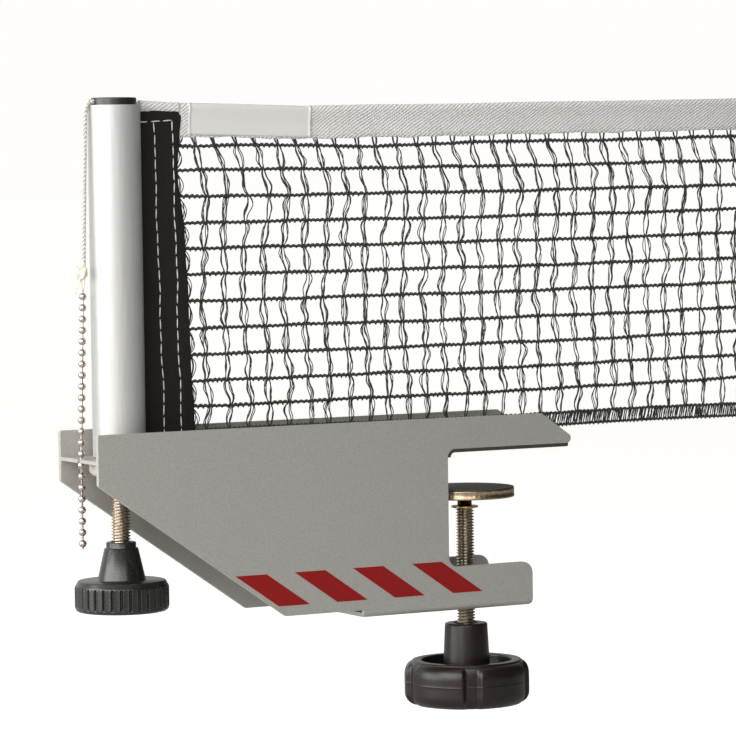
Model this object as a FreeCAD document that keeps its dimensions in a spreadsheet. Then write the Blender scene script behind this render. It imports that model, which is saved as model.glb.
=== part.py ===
import FreeCAD, Part

import math
import os
import re

import Sketcher

# Table tennis net clamp with the net's first stretch.  Millimetres.
# The origin lies on the clamp screw's axis, on the face that rests on the table.
# X points to the middle of the table, Y is square to the net, Z points up.

SIZES = {
    # folded bracket: two side plates joined by a web under the jaw
    "bracket_width": 38.4,
    "sheet_gauge": 2.0,
    "fold_inner": 1.2,
    "fold_relief": 0.1,
    "tail_reach": 182.0,
    "tail_depth": 5.9,
    "plate_top": 14.8,
    "foot_start": 97.7,
    "foot_depth": 64.0,
    "web_start": 59.8,
    "relief_run": 1.4,
    "lower_reach": 22.2,
    "lower_arm_depth": 48.5,
    "throat_depth": 19.2,
    "nose_corner": 46.9,
    "bevel_reach": 27.7,
    "nose_round": 2.1,
    "bevel_round": 1.5,
    "corner_round": 1.0,
    "lower_tip_round": 1.5,
    "lower_arm_round": 5.0,
    "throat_round_low": 4.0,
    "throat_round_high": 3.5,
    # seat plate between the side plates, and the rubber under it
    "seat_reach": 41.0,
    "seat_gauge": 1.5,
    "seat_rise": 1.0,
    "rubber_thick": 1.5,
    "rubber_side_gap": 0.2,
    "rubber_turn": 0.05,
    "chain_inset": 1.4,
    "chain_slot": 2.6,
    "slot_round": 1.25,
    "running_gap": 0.05,
    # post, its guide and what is inside it
    "post_inset": 18.6,
    "tube_outer": 21.7,
    "tube_wall": 1.5,
    "tube_lift": 0.3,
    "tube_top": 147.6,
    "tube_slot": 2.4,
    "spigot_top": 38.0,
    "flange_width": 25.0,
    "flange_depth": 6.0,
    "flange_round": 3.0,
    "plug_gap": 1.5,
    "plug_length": 10.0,
    "cap_grip": 10.0,
    "cap_rise": 3.0,
    "cap_round": 0.6,
    "cap_roof": 0.45,
    "arch_share": 0.95,
    "rod_width": 3.0,
    "rod_cover": 1.2,
    "pocket_cloth": 0.55,
    "keyway_gap": 0.5,
    "keyway_depth_gap": 0.2,
    # height screw and its hand wheel
    "screw_width": 8.0,
    "screw_bevel": 0.8,
    "moulded_gap": 0.02,
    "wheel_drop": 30.6,
    "collar_width": 12.2,
    "collar_length": 2.5,
    "cone_top_width": 13.9,
    "cone_low_width": 19.8,
    "cone_length": 13.2,
    "shoulder_width": 35.8,
    "shoulder_length": 2.1,
    "wheel_width": 38.3,
    "wheel_length": 12.6,
    "wheel_floor": 3.2,
    "wheel_round": 1.2,
    "grip_ribs": 32,
    "grip_inset": 0.2,
    "grip_length": 8.7,
    "grip_round": 1.0,
    "grip_bite": 0.8,
    # clamp screw, swivel pad and star knob
    "table_gap": 16.5,
    "pad_rubber_thick": 0.5,
    "cup_width": 43.0,
    "cup_height": 3.8,
    "cup_plate": 1.6,
    "cup_wall": 1.2,
    "cup_boss_width": 12.0,
    "cup_boss_height": 2.0,
    "pin_width": 6.2,
    "pin_length": 8.5,
    "pin_head_width": 8.6,
    "pin_head_height": 0.8,
    "clip_width": 11.6,
    "clip_thick": 0.8,
    "nut_flats": 13.0,
    "nut_height": 6.5,
    "web_hole_gap": 0.6,
    "hub_drop": 75.2,
    "hub_length": 15.8,
    "hub_top_width": 18.4,
    "hub_low_width": 20.7,
    "star_width": 53.8,
    "star_height": 19.0,
    "star_lobes": 5,
    "star_turn": -43.6,
    "scallop_round": 5.0,
    "scallop_bite": 3.2,
    "star_top_round": 4.2,
    "star_low_round": 5.0,
    "recess_width": 38.9,
    "recess_depth": 8.1,
    "knob_floor": 5.0,
    "hub_root": 1.0,
    # net: band, tape, mesh and label
    "band_thick": 1.4,
    "band_top": 145.2,
    "band_bottom": 5.5,
    "band_top_setback": 2.7,
    "band_reach_low": 34.5,
    "band_tuck": 0.165,
    "seam_gap": 0.05,
    "tape_cloth": 0.45,
    "tape_casing_gap": 0.25,
    "tape_leg_gap": 0.5,
    "tape_casing_slack": 0.3,
    "tape_start": 11.2,
    "tape_wide_start": 31.9,
    "tape_step": 0.9,
    "tape_depth": 11.4,
    "net_end": 156.0,
    "strand_width": 1.1,
    "bundle_width": 1.6,
    "mesh_thick": 0.8,
    "first_row": 130.4,
    "row_pitch": 10.69,
    "row_count": 11,
    "column_count": 25,
    "row_rise": 2.1,
    "hem_depth": 5.1,
    "mesh_tuck": 5.0,
    "mesh_border": 3.0,
    "label_start": 33.2,
    "label_length": 58.1,
    "label_height": 11.3,
    "label_thick": 0.3,
    "label_bulge_share": 0.75,
    "label_waist_share": 1.3,
    "label_press": 0.2,
    # tension cord, knot and bead chain
    "cord_width": 2.4,
    "cord_rest_gap": 0.05,
    "cord_bend": 2.4,
    "cord_lead": 2.1,
    "cord_dip": 15.4,
    "cord_clear": 0.1,
    "arc_share": 0.45,
    "knot_bottom": 76.5,
    "knot_top": 83.7,
    "knot_width": 5.2,
    "knot_waist": 4.2,
    "loop_width": 1.3,
    "ball_width": 3.1,
    "ball_pitch": 4.57,
    "link_width": 1.0,
    "upper_balls": 15,
    "lower_balls": 8,
    "tail_end": 0.9,
}

# the tension cord's axis past the tube's rim: distance from the post's axis, height over the table seat
CORD_ROUTE = [
    ("tape_wide_start", 146.3),
    ("tape_wide_start + 54.5", 145.65),
    ("tape_wide_start + 102.5", 145.15),
    ("tape_wide_start + 203.5", 147.15),
]
CORD_END_HEIGHT = 148.25

doc = FreeCAD.newDocument("net_clamp")
sheet = doc.addObject("Spreadsheet::Sheet", "Sizes")
for row, (alias, number) in enumerate(SIZES.items(), 1):
    sheet.set(f"A{row}", alias)
    sheet.set(f"B{row}", str(number))
    sheet.setAlias(f"B{row}", alias)
doc.recompute()

# places that several pieces share, as expressions over the sheet
POST_OFFSET = "(tail_reach - post_inset)"
CHAIN_OFFSET = "(tail_reach - chain_inset)"
SEAT_LOW = "(rubber_thick + seat_rise)"
SEAT_TOP = f"({SEAT_LOW} + seat_gauge)"
INNER_WIDTH = "(bracket_width - 2 * sheet_gauge)"
WEB_DEPTH = "(foot_depth + sheet_gauge + fold_inner + fold_relief)"
WEB_TOP = "(-foot_depth - fold_inner - fold_relief)"
TUBE_BOTTOM = f"({SEAT_TOP} + tube_lift)"
TUBE_BORE = "(tube_outer - 2 * tube_wall)"
SPIGOT_WIDTH = f"({TUBE_BORE} - 4 * running_gap)"
POCKET_RADIUS = "(rod_width / 2 + running_gap + pocket_cloth)"
ROD_OFFSET = f"({TUBE_BORE} / 2 - {POCKET_RADIUS} - running_gap)"
SCREW_BORE = "(screw_width + 2 * running_gap)"
CORD_LEVEL = "(tube_top + cord_width / 2 + cord_rest_gap)"
PAD_TOP = "(-table_gap - pad_rubber_thick)"
WHEEL_TOP = "(-wheel_drop - collar_length - cone_length)"
STAR_TOP = "(-hub_drop - hub_length)"
HEM_TOP = "(first_row - row_pitch * row_count)"
BAND_REACH_TOP = "(tape_wide_start - band_top_setback)"
TAIL_LEVEL = f"({SEAT_LOW} - sqrt((ball_width / 2) ^ 2 - (chain_slot / 2) ^ 2) - running_gap)"
FIRST_BALL = f"({TAIL_LEVEL} + ball_pitch - {SEAT_TOP})"
UPPER_END = f"({FIRST_BALL} + ball_width / 2 + ball_pitch * (upper_balls - 1))"


def bound(text):
    """The expression with every size written as a cell of the sheet."""
    return re.sub(r"[a-z_]+", lambda word: f"Sizes.{word[0]}" if word[0] in SIZES else word[0], text)


def value(text):
    """The number that an expression gives now."""
    result = sheet.evalExpression(bound(text))
    return float(getattr(result, "Value", result))


def new_body(name, x=None, z=None):
    body = doc.addObject("PartDesign::Body", name)
    body.Label = name
    if x is not None:
        body.setExpression("Placement.Base.x", bound(x))
    if z is not None:
        body.setExpression("Placement.Base.z", bound(z))
    return body


def new_sketch(body, role, level=None):
    sketch = body.newObject("Sketcher::SketchObject", f"{body.Label}_sketch")
    plane = next(item for item in body.Origin.OriginFeatures if item.Role == role)
    sketch.AttachmentSupport = [(plane, "")]
    sketch.MapMode = "FlatFace"
    if level is not None:
        sketch.setExpression("AttachmentOffset.Base.z", bound(level))
    return sketch


def pin_point(sketch, geometry, position, across, up):
    """Tie a point of the sketch to two sizes, measured from the sketch's origin."""
    for kind, text in (("DistanceX", across), ("DistanceY", up)):
        number = sketch.addConstraint(Sketcher.Constraint(kind, -1, 1, geometry, position, value(text)))
        sketch.setExpression(f"Constraints[{number}]", bound(text))


def draw_circle(sketch, across, up, width):
    centre = FreeCAD.Vector(value(across), value(up), 0)
    circle = Part.Circle(centre, FreeCAD.Vector(0, 0, 1), value(width) / 2)
    index = sketch.addGeometry(circle, False)
    pin_point(sketch, index, 3, across, up)
    number = sketch.addConstraint(Sketcher.Constraint("Diameter", index, value(width)))
    sketch.setExpression(f"Constraints[{number}]", bound(width))


def draw_outline(sketch, corners):
    """A closed outline through corners (across, up) or, where rounded, (across, up, radius)."""
    points = [FreeCAD.Vector(value(corner[0]), value(corner[1]), 0) for corner in corners]
    count = len(corners)
    arrive = []
    leave = []
    arcs = []
    for index, corner in enumerate(corners):
        point = points[index]
        back = (points[index - 1] - point).normalize()
        ahead = (points[(index + 1) % count] - point).normalize()
        if len(corner) == 2:
            arrive.append(point)
            leave.append(point)
            arcs.append(None)
            continue
        radius = value(corner[2])
        half = back.getAngle(ahead) / 2
        reach = radius / math.tan(half)
        centre = point + (back + ahead).normalize() * (radius / math.sin(half))
        arrive.append(point + back * reach)
        leave.append(point + ahead * reach)
        turns_left = back.cross(ahead).z < 0
        first = arrive[-1] if turns_left else leave[-1]
        begin = math.atan2(first.y - centre.y, first.x - centre.x)
        circle = Part.Circle(centre, FreeCAD.Vector(0, 0, 1), radius)
        arc = Part.ArcOfCircle(circle, begin, begin + math.pi - 2 * half)
        arcs.append((arc, 1 if turns_left else 2))
    lines = [
        sketch.addGeometry(Part.LineSegment(leave[i], arrive[(i + 1) % count]), False)
        for i in range(count)
    ]
    for index, corner in enumerate(corners):
        before = lines[index - 1]
        after = lines[index]
        if arcs[index] is None:
            sketch.addConstraint(Sketcher.Constraint("Coincident", before, 2, after, 1))
            pin_point(sketch, after, 1, corner[0], corner[1])
            continue
        arc = sketch.addGeometry(arcs[index][0], False)
        near = arcs[index][1]
        sketch.addConstraint(Sketcher.Constraint("Tangent", before, 2, arc, near))
        sketch.addConstraint(Sketcher.Constraint("Tangent", after, 1, arc, 3 - near))
        number = sketch.addConstraint(Sketcher.Constraint("Radius", arc, value(corner[2])))
        sketch.setExpression(f"Constraints[{number}]", bound(corner[2]))
        apex = sketch.addGeometry(Part.Point(points[index]), True)
        pin_point(sketch, apex, 1, corner[0], corner[1])
        sketch.addConstraint(Sketcher.Constraint("PointOnObject", apex, 1, before))
        sketch.addConstraint(Sketcher.Constraint("PointOnObject", apex, 1, after))


def draw_box(sketch, left, right, low, high):
    draw_outline(sketch, [(left, low), (right, low), (right, high), (left, high)])


def finish_feature(body, feature, adds, base=None):
    """Recompute, and stop if the feature left the solid as it was."""
    base = base or feature.BaseFeature
    old = base.Shape.Volume if base else 0.0
    doc.recompute()
    change = feature.Shape.Volume - old
    if (change > 0) != adds or abs(change) < 1e-6:
        raise RuntimeError(f"{feature.Name} on {body.Label} changed the volume by {change}")
    return feature


def pad(body, sketch, length, both_sides=False):
    feature = body.newObject("PartDesign::Pad", f"{body.Label}_pad")
    feature.Profile = sketch
    feature.SideType = "Symmetric" if both_sides else "One side"
    feature.setExpression("Length", bound(length))
    return finish_feature(body, feature, True)


def pocket(body, sketch, length=None, upward=False):
    """Cut the sketch through the whole solid, or to a length below or above its plane."""
    feature = body.newObject("PartDesign::Pocket", f"{body.Label}_pocket")
    feature.Profile = sketch
    if length is None:
        feature.Type = "ThroughAll"
        feature.SideType = "Symmetric"
    else:
        feature.setExpression("Length", bound(length))
        feature.Reversed = upward
    return finish_feature(body, feature, False)


def revolve(body, sketch):
    feature = body.newObject("PartDesign::Revolution", f"{body.Label}_turned")
    feature.Profile = sketch
    feature.ReferenceAxis = (sketch, ["V_Axis"])
    feature.Angle = 360
    return finish_feature(body, feature, True)


def around(body, feature, count, adds=False):
    pattern = body.newObject("PartDesign::PolarPattern", f"{body.Label}_ring")
    pattern.Originals = [feature]
    axis = next(item for item in body.Origin.OriginFeatures if item.Role == "Z_Axis")
    pattern.Axis = (axis, [""])
    pattern.Angle = 360
    pattern.setExpression("Occurrences", bound(count))
    body.Tip = pattern
    return finish_feature(body, pattern, adds, feature)


def bracket_shell():
    """One sheet, folded to a U: the jaw is cut through both sides, and the slope stays open."""
    body = new_body("bracket_shell")
    side = new_sketch(body, "XZ_Plane")
    draw_outline(side, [
        ("-tail_reach", "-tail_depth", "corner_round"),
        ("-foot_start", "-foot_depth", "corner_round"),
        ("-web_start - relief_run", "-foot_depth"),
        ("-web_start", f"-{WEB_DEPTH}"),
        ("lower_reach", f"-{WEB_DEPTH}", "lower_tip_round"),
        ("lower_reach", "-lower_arm_depth", "lower_arm_round"),
        ("-throat_depth", "-lower_arm_depth", "throat_round_low"),
        ("-throat_depth", "rubber_thick", "throat_round_high"),
        ("nose_corner", "rubber_thick", "nose_round"),
        ("bevel_reach", "plate_top", "bevel_round"),
        ("-tail_reach", "plate_top", "corner_round"),
    ])
    pad(body, side, "bracket_width", both_sides=True)
    channel = new_sketch(body, "YZ_Plane")
    half = f"{INNER_WIDTH} / 2"
    draw_outline(channel, [
        (f"-{half}", WEB_TOP, "fold_inner"),
        (half, WEB_TOP, "fold_inner"),
        (half, "plate_top + sheet_gauge"),
        (f"-{half}", "plate_top + sheet_gauge"),
    ])
    pocket(body, channel)
    fold = new_sketch(body, "YZ_Plane")
    outer = "bracket_width / 2"
    draw_outline(fold, [
        (f"-{outer}", f"-{WEB_DEPTH}", "fold_inner + sheet_gauge"),
        (outer, f"-{WEB_DEPTH}", "fold_inner + sheet_gauge"),
        (outer, "plate_top + sheet_gauge"),
        (f"-{outer}", "plate_top + sheet_gauge"),
    ])
    margin = "bracket_width"
    draw_box(fold, f"-{margin}", margin, f"-{WEB_DEPTH} - {margin}", f"plate_top + {margin}")
    pocket(body, fold)
    hole = new_sketch(body, "XY_Plane")
    draw_circle(hole, "0", "0", "screw_width + 2 * web_hole_gap")
    pocket(body, hole, WEB_DEPTH + " + sheet_gauge")
    return body


def seat_plate():
    """Flat strip welded between the side plates; the chain is hooked into its slot."""
    body = new_body("seat_plate", z=SEAT_LOW)
    strip = new_sketch(body, "XY_Plane")
    half = f"{INNER_WIDTH} / 2"
    draw_box(strip, "-tail_reach", "seat_reach", f"-{half}", half)
    pad(body, strip, "seat_gauge")
    hole = new_sketch(body, "XY_Plane")
    draw_circle(hole, f"-{POST_OFFSET}", "0", f"{SPIGOT_WIDTH} + 2 * running_gap")
    pocket(body, hole)
    slot = new_sketch(body, "XY_Plane")
    end = f"chain_slot / 2 - {CHAIN_OFFSET}"
    draw_outline(slot, [
        ("-tail_reach - chain_slot", "-chain_slot / 2"),
        (end, "-chain_slot / 2", "slot_round"),
        (end, "chain_slot / 2", "slot_round"),
        ("-tail_reach - chain_slot", "chain_slot / 2"),
    ])
    pocket(body, slot)
    return body


def seat_rubber():
    """Strip under the upper arm, turned down at the jaw's back; its middle fills up to the seat plate."""
    body = new_body("seat_rubber")
    side = new_sketch(body, "XZ_Plane")
    low = "rubber_thick - throat_round_high - rubber_turn"
    draw_outline(side, [
        ("-throat_depth", low),
        ("rubber_thick - throat_depth", low),
        ("rubber_thick - throat_depth", "0", "throat_round_high - rubber_thick"),
        ("seat_reach", "0", "rubber_thick / 2"),
        ("seat_reach", "rubber_thick"),
        ("-throat_depth", "rubber_thick", "throat_round_high"),
    ])
    pad(body, side, "bracket_width - 2 * rubber_side_gap", both_sides=True)
    middle = new_sketch(body, "XZ_Plane")
    draw_box(middle, "throat_round_high - throat_depth", "seat_reach", "rubber_thick / 2", SEAT_LOW)
    pad(body, middle, f"{INNER_WIDTH} - 2 * rubber_side_gap", both_sides=True)
    return body


def cut_keyway(body, bottom, length):
    """Channel towards the net, where the rod stands in the hem of the net's band."""
    channel = new_sketch(body, "XY_Plane", bottom)
    half = f"({POCKET_RADIUS} + keyway_gap)"
    floor = f"{ROD_OFFSET} - {POCKET_RADIUS} - keyway_depth_gap"
    draw_box(channel, floor, "tube_outer", f"-{half}", half)
    pocket(body, channel, length, upward=True)


def guide_bush():
    """Moulded guide under the seat plate: its spigot steers the tube, its bore the screw."""
    body = new_body("guide_bush", x=f"-{POST_OFFSET}")
    half = new_sketch(body, "XZ_Plane")
    draw_outline(half, [
        (f"{SCREW_BORE} / 2", f"{SEAT_LOW} - flange_depth"),
        ("flange_width / 2", f"{SEAT_LOW} - flange_depth", "flange_round"),
        ("flange_width / 2", SEAT_LOW),
        (f"{SPIGOT_WIDTH} / 2", SEAT_LOW),
        (f"{SPIGOT_WIDTH} / 2", "spigot_top"),
        (f"{SCREW_BORE} / 2", "spigot_top"),
    ])
    revolve(body, half)
    cut_keyway(body, SEAT_TOP, f"spigot_top - {SEAT_TOP} + sheet_gauge")
    return body


def post_tube():
    """Slotted aluminium tube that slides on the spigot."""
    body = new_body("post_tube", x=f"-{POST_OFFSET}")
    ring = new_sketch(body, "XY_Plane", TUBE_BOTTOM)
    draw_circle(ring, "0", "0", "tube_outer")
    draw_circle(ring, "0", "0", TUBE_BORE)
    pad(body, ring, f"tube_top - {TUBE_BOTTOM}")
    slot = new_sketch(body, "XY_Plane")
    draw_box(slot, "0", "tube_outer", "-tube_slot / 2", "tube_slot / 2")
    pocket(body, slot)
    return body


def post_plug():
    """Plug fixed in the tube, which rides on the tip of the height screw."""
    body = new_body("post_plug", x=f"-{POST_OFFSET}")
    bottom = "spigot_top + plug_gap"
    disc = new_sketch(body, "XY_Plane", bottom)
    draw_circle(disc, "0", "0", f"{TUBE_BORE} - 2 * running_gap")
    pad(body, disc, "plug_length")
    cut_keyway(body, bottom, "plug_length + sheet_gauge")
    return body


def post_cap():
    """Plastic cap pushed into the tube; the cord runs through it over both rims."""
    body = new_body("post_cap", x=f"-{POST_OFFSET}")
    half = new_sketch(body, "XZ_Plane")
    width = f"({TUBE_BORE} - 2 * running_gap)"
    draw_outline(half, [
        ("0", "tube_top - cap_grip"),
        (f"{width} / 2", "tube_top - cap_grip"),
        (f"{width} / 2", "tube_top + cap_rise", "cap_round"),
        ("0", "tube_top + cap_rise"),
    ])
    revolve(body, half)
    tunnel = new_sketch(body, "YZ_Plane")
    side = "(cord_width / 2 + cord_rest_gap)"
    roof = "tube_top + cap_rise - cap_roof"
    draw_outline(tunnel, [
        (f"-{side}", "tube_top"),
        (side, "tube_top"),
        (side, roof, f"arch_share * {side}"),
        (f"-{side}", roof, f"arch_share * {side}"),
    ])
    pocket(body, tunnel)
    cut_keyway(body, "tube_top - cap_grip", "cap_grip - rod_cover")
    return body


def net_rod():
    """Steel rod that keeps the net's band behind the tube's slot."""
    rod = doc.addObject("Part::Cylinder", "net_rod")
    rod.Label = "net_rod"
    rod.setExpression("Radius", bound("rod_width / 2"))
    rod.setExpression("Height", bound("band_top - band_bottom - rod_cover"))
    rod.setExpression("Placement.Base.x", bound(f"{ROD_OFFSET} - {POST_OFFSET}"))
    rod.setExpression("Placement.Base.z", bound("band_bottom"))
    return rod


def height_screw():
    """Threaded rod, here at its outer size, from the hand wheel to the plug in the tube."""
    body = new_body("height_screw", x=f"-{POST_OFFSET}")
    half = new_sketch(body, "XZ_Plane")
    tip = "spigot_top + plug_gap - running_gap"
    draw_outline(half, [
        ("0", f"{WHEEL_TOP} - wheel_length + wheel_floor"),
        ("screw_width / 2", f"{WHEEL_TOP} - wheel_length + wheel_floor"),
        ("screw_width / 2", f"{tip} - screw_bevel"),
        ("screw_width / 2 - screw_bevel", tip),
        ("0", tip),
    ])
    revolve(body, half)
    return body


def height_knob():
    """Moulded hand wheel with a collar, a cone and a ribbed rim."""
    body = new_body("height_knob", x=f"-{POST_OFFSET}")
    half = new_sketch(body, "XZ_Plane")
    bore = "screw_width / 2 + moulded_gap"
    floor = f"{WHEEL_TOP} - wheel_length + wheel_floor - moulded_gap"
    draw_outline(half, [
        (bore, "-wheel_drop"),
        (bore, floor),
        ("0", floor),
        ("0", f"{WHEEL_TOP} - wheel_length"),
        ("wheel_width / 2", f"{WHEEL_TOP} - wheel_length", "wheel_round"),
        ("wheel_width / 2", f"{WHEEL_TOP} - shoulder_length"),
        ("shoulder_width / 2", WHEEL_TOP),
        ("cone_low_width / 2", WHEEL_TOP),
        ("cone_top_width / 2", "-wheel_drop - collar_length"),
        ("collar_width / 2", "-wheel_drop - collar_length"),
        ("collar_width / 2", "-wheel_drop"),
    ])
    revolve(body, half)
    groove = new_sketch(body, "XY_Plane", f"{WHEEL_TOP} - shoulder_length - grip_inset")
    draw_circle(groove, "wheel_width / 2 + grip_round - grip_bite", "0", "2 * grip_round")
    around(body, pocket(body, groove, "grip_length"), "grip_ribs")
    return body


def clamp_nut():
    """Hexagon nut welded on the web."""
    prism = doc.addObject("Part::Prism", "clamp_nut_prism")
    prism.Polygon = 6
    prism.setExpression("Circumradius", bound("nut_flats / sqrt(3)"))
    prism.setExpression("Height", bound("nut_height"))
    bore = doc.addObject("Part::Cylinder", "clamp_nut_bore")
    bore.setExpression("Radius", bound(f"{SCREW_BORE} / 2"))
    bore.setExpression("Height", bound("nut_height"))
    nut = doc.addObject("Part::Cut", "clamp_nut")
    nut.Label = "clamp_nut"
    nut.Base = prism
    nut.Tool = bore
    nut.setExpression("Placement.Base.z", bound(WEB_TOP))
    return nut


def clamp_screw():
    """Screw with a thin pin, whose riveted head turns in the pad's recess."""
    body = new_body("clamp_screw", z=PAD_TOP)
    half = new_sketch(body, "XZ_Plane")
    head_top = "-running_gap"
    head_low = "-running_gap - pin_head_height"
    shoulder = "-pin_length"
    end = f"-{PAD_TOP} + {STAR_TOP} - star_height + knob_floor"
    draw_outline(half, [
        ("0", end),
        ("screw_width / 2", end),
        ("screw_width / 2", f"{shoulder} - screw_bevel"),
        ("screw_width / 2 - screw_bevel", shoulder),
        ("pin_width / 2", shoulder),
        ("pin_width / 2", head_low),
        ("pin_head_width / 2", head_low),
        ("pin_head_width / 2", head_top),
        ("0", head_top),
    ])
    revolve(body, half)
    return body


def screw_clip():
    """Spring clip on the pin, just over the screw's shoulder."""
    disc = doc.addObject("Part::Cylinder", "screw_clip_disc")
    disc.setExpression("Radius", bound("clip_width / 2"))
    disc.setExpression("Height", bound("clip_thick"))
    hole = doc.addObject("Part::Cylinder", "screw_clip_hole")
    hole.setExpression("Radius", bound("pin_width / 2 + moulded_gap"))
    hole.setExpression("Height", bound("clip_thick"))
    clip = doc.addObject("Part::Cut", "screw_clip")
    clip.Label = "screw_clip"
    clip.Base = disc
    clip.Tool = hole
    clip.setExpression("Placement.Base.z", bound(f"{PAD_TOP} - pin_length + moulded_gap"))
    return clip


def pad_cup():
    """Pressed cup that presses on the table from below and swivels on the pin."""
    body = new_body("pad_cup", z=PAD_TOP)
    half = new_sketch(body, "XZ_Plane")
    bore = "pin_width / 2 + running_gap"
    recess = "pin_head_width / 2 + running_gap"
    floor = "-pin_head_height - 2 * running_gap"
    draw_outline(half, [
        (recess, "0"),
        (recess, floor),
        (bore, floor),
        (bore, "-cup_plate - cup_boss_height"),
        ("cup_boss_width / 2", "-cup_plate - cup_boss_height"),
        ("cup_boss_width / 2", "-cup_plate"),
        ("cup_width / 2 - cup_wall", "-cup_plate"),
        ("cup_width / 2 - cup_wall", "-cup_height"),
        ("cup_width / 2", "-cup_height"),
        ("cup_width / 2", "0"),
    ])
    revolve(body, half)
    return body


def pad_rubber():
    """Thin rubber disc on the cup."""
    disc = doc.addObject("Part::Cylinder", "pad_rubber")
    disc.Label = "pad_rubber"
    disc.setExpression("Radius", bound("cup_width / 2 - rubber_side_gap"))
    disc.setExpression("Height", bound("pad_rubber_thick"))
    disc.setExpression("Placement.Base.z", bound(PAD_TOP))
    return disc


def star_knob():
    """Moulded star knob: a scalloped rim around a sunk floor, with a tall tapered hub."""
    body = new_body("star_knob", z=STAR_TOP)
    body.Placement.Rotation = FreeCAD.Rotation(FreeCAD.Vector(0, 0, 1), 0)
    body.setExpression("Placement.Rotation.Angle", bound("star_turn * 1 deg"))
    disc = new_sketch(body, "XZ_Plane")
    draw_outline(disc, [
        ("0", "-star_height"),
        ("star_width / 2", "-star_height", "star_low_round"),
        ("star_width / 2", "0", "star_top_round"),
        ("0", "0"),
    ])
    revolve(body, disc)
    scallop = new_sketch(body, "XY_Plane")
    draw_circle(scallop, "star_width / 2 + scallop_round - scallop_bite", "0", "2 * scallop_round")
    around(body, pocket(body, scallop, "star_height"), "star_lobes")
    recess = new_sketch(body, "XY_Plane")
    draw_circle(recess, "0", "0", "recess_width")
    pocket(body, recess, "recess_depth")
    hub = new_sketch(body, "XZ_Plane")
    bore = "screw_width / 2 + moulded_gap"
    floor = "knob_floor - star_height - moulded_gap"
    draw_outline(hub, [
        ("0", f"{floor} - hub_root"),
        ("hub_low_width / 2", f"{floor} - hub_root"),
        ("hub_low_width / 2", "0"),
        ("hub_top_width / 2", "hub_length", "corner_round"),
        ("0", "hub_length"),
    ])
    revolve(body, hub)
    hole = new_sketch(body, "XY_Plane", "hub_length")
    draw_circle(hole, "0", "0", f"2 * ({bore})")
    pocket(body, hole, f"hub_length - ({floor})")
    return body


def net_band():
    """Doubled cloth band: its hem holds the rod, its free edge carries the mesh."""
    body = new_body("net_band")
    flat = new_sketch(body, "XZ_Plane")
    start = f"{ROD_OFFSET} - {POST_OFFSET} + rod_width / 2 + running_gap + band_tuck"
    draw_outline(flat, [
        (start, "band_bottom"),
        (f"band_reach_low - {POST_OFFSET}", "band_bottom"),
        (f"{BAND_REACH_TOP} - {POST_OFFSET}", "band_top"),
        (start, "band_top"),
    ])
    pad(body, flat, "band_thick", both_sides=True)
    hem = new_sketch(body, "XY_Plane", "band_bottom")
    rod_place = f"{ROD_OFFSET} - {POST_OFFSET}"
    draw_circle(hem, rod_place, "0", f"2 * {POCKET_RADIUS}")
    draw_circle(hem, rod_place, "0", "rod_width + 2 * running_gap")
    pad(body, hem, "band_top - band_bottom")
    return body


def net_place(distance):
    """The place along X at a distance from the post's axis."""
    return value(f"{distance} - {POST_OFFSET}")


def cord_route():
    """Corners of the cord's axis from the tape's start to the net's cut end, as (x, z)."""
    level = value(CORD_LEVEL)
    route = [(net_place("tape_start"), level), (net_place("cord_dip"), level)]
    route += [(net_place(distance), height) for distance, height in CORD_ROUTE]
    route.append((value("net_end"), CORD_END_HEIGHT))
    return route


def cord_height(x):
    """Height of the cord's axis at a place along the net."""
    route = cord_route()
    for (x_low, z_low), (x_high, z_high) in zip(route, route[1:]):
        if x <= x_high:
            return z_low + (z_high - z_low) * (x - x_low) / (x_high - x_low)
    return route[-1][1]


def cord_pipe(points, radii, width):
    """A round cord along straight runs joined by tangent arcs; gives the solid and its length."""
    edges = []
    last = points[0]
    for index in range(1, len(points) - 1):
        point = points[index]
        back = (points[index - 1] - point).normalize()
        ahead = (points[index + 1] - point).normalize()
        half = back.getAngle(ahead) / 2
        reach = radii[index - 1] / math.tan(half)
        start = point + back * reach
        end = point + ahead * reach
        middle = point + (back + ahead).normalize() * (radii[index - 1] / math.sin(half) - radii[index - 1])
        edges.append(Part.LineSegment(last, start).toShape())
        edges.append(Part.Arc(start, middle, end).toShape())
        last = end
    edges.append(Part.LineSegment(last, points[-1]).toShape())
    path = Part.Wire(edges)
    circle = Part.Circle(points[0], points[1] - points[0], width / 2)
    solid = path.makePipeShell([Part.Wire([circle.toShape()])], True, True)
    section = math.pi * width ** 2 / 4
    ratio = solid.Volume / (section * path.Length)
    print("cord radii", [round(radius, 1) for radius in radii], "volume ratio", round(ratio, 4))
    return solid


def gentle_radii(points):
    """The largest arc that two neighbouring runs allow at each turn."""
    radii = []
    for before, point, after in zip(points, points[1:], points[2:]):
        run = min(point.distanceToPoint(before), point.distanceToPoint(after))
        half_turn = (point - before).getAngle(after - point) / 2
        radii.append(value("arc_share") * run / math.tan(half_turn))
    return radii


def new_feature(name, shape):
    feature = doc.addObject("Part::Feature", name)
    feature.Label = name
    feature.Shape = shape
    feature.Placement = FreeCAD.Placement()
    return feature


def notch_place():
    """Where the cord leaves the tube's rim on the chain's side."""
    return value(f"cord_bend - cord_lead - tube_outer / 2 - {POST_OFFSET}")


def tape_cord():
    """The tension cord inside the tape, over the tube's rims and through the cap."""
    points = [FreeCAD.Vector(notch_place(), 0, value(CORD_LEVEL))]
    points += [FreeCAD.Vector(x, 0, z) for x, z in cord_route()[1:]]
    return new_feature("tape_cord", cord_pipe(points, gentle_radii(points), value("cord_width")))


def chain_line():
    """Foot and direction of the straight line that the cord and the chain hang along."""
    foot = FreeCAD.Vector(-value(CHAIN_OFFSET), 0, value(SEAT_TOP))
    bend = value("cord_bend")
    drop = FreeCAD.Vector(notch_place() - bend - value("cord_clear"), 0, value(CORD_LEVEL) - bend)
    return foot, (drop - foot).normalize()


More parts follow.
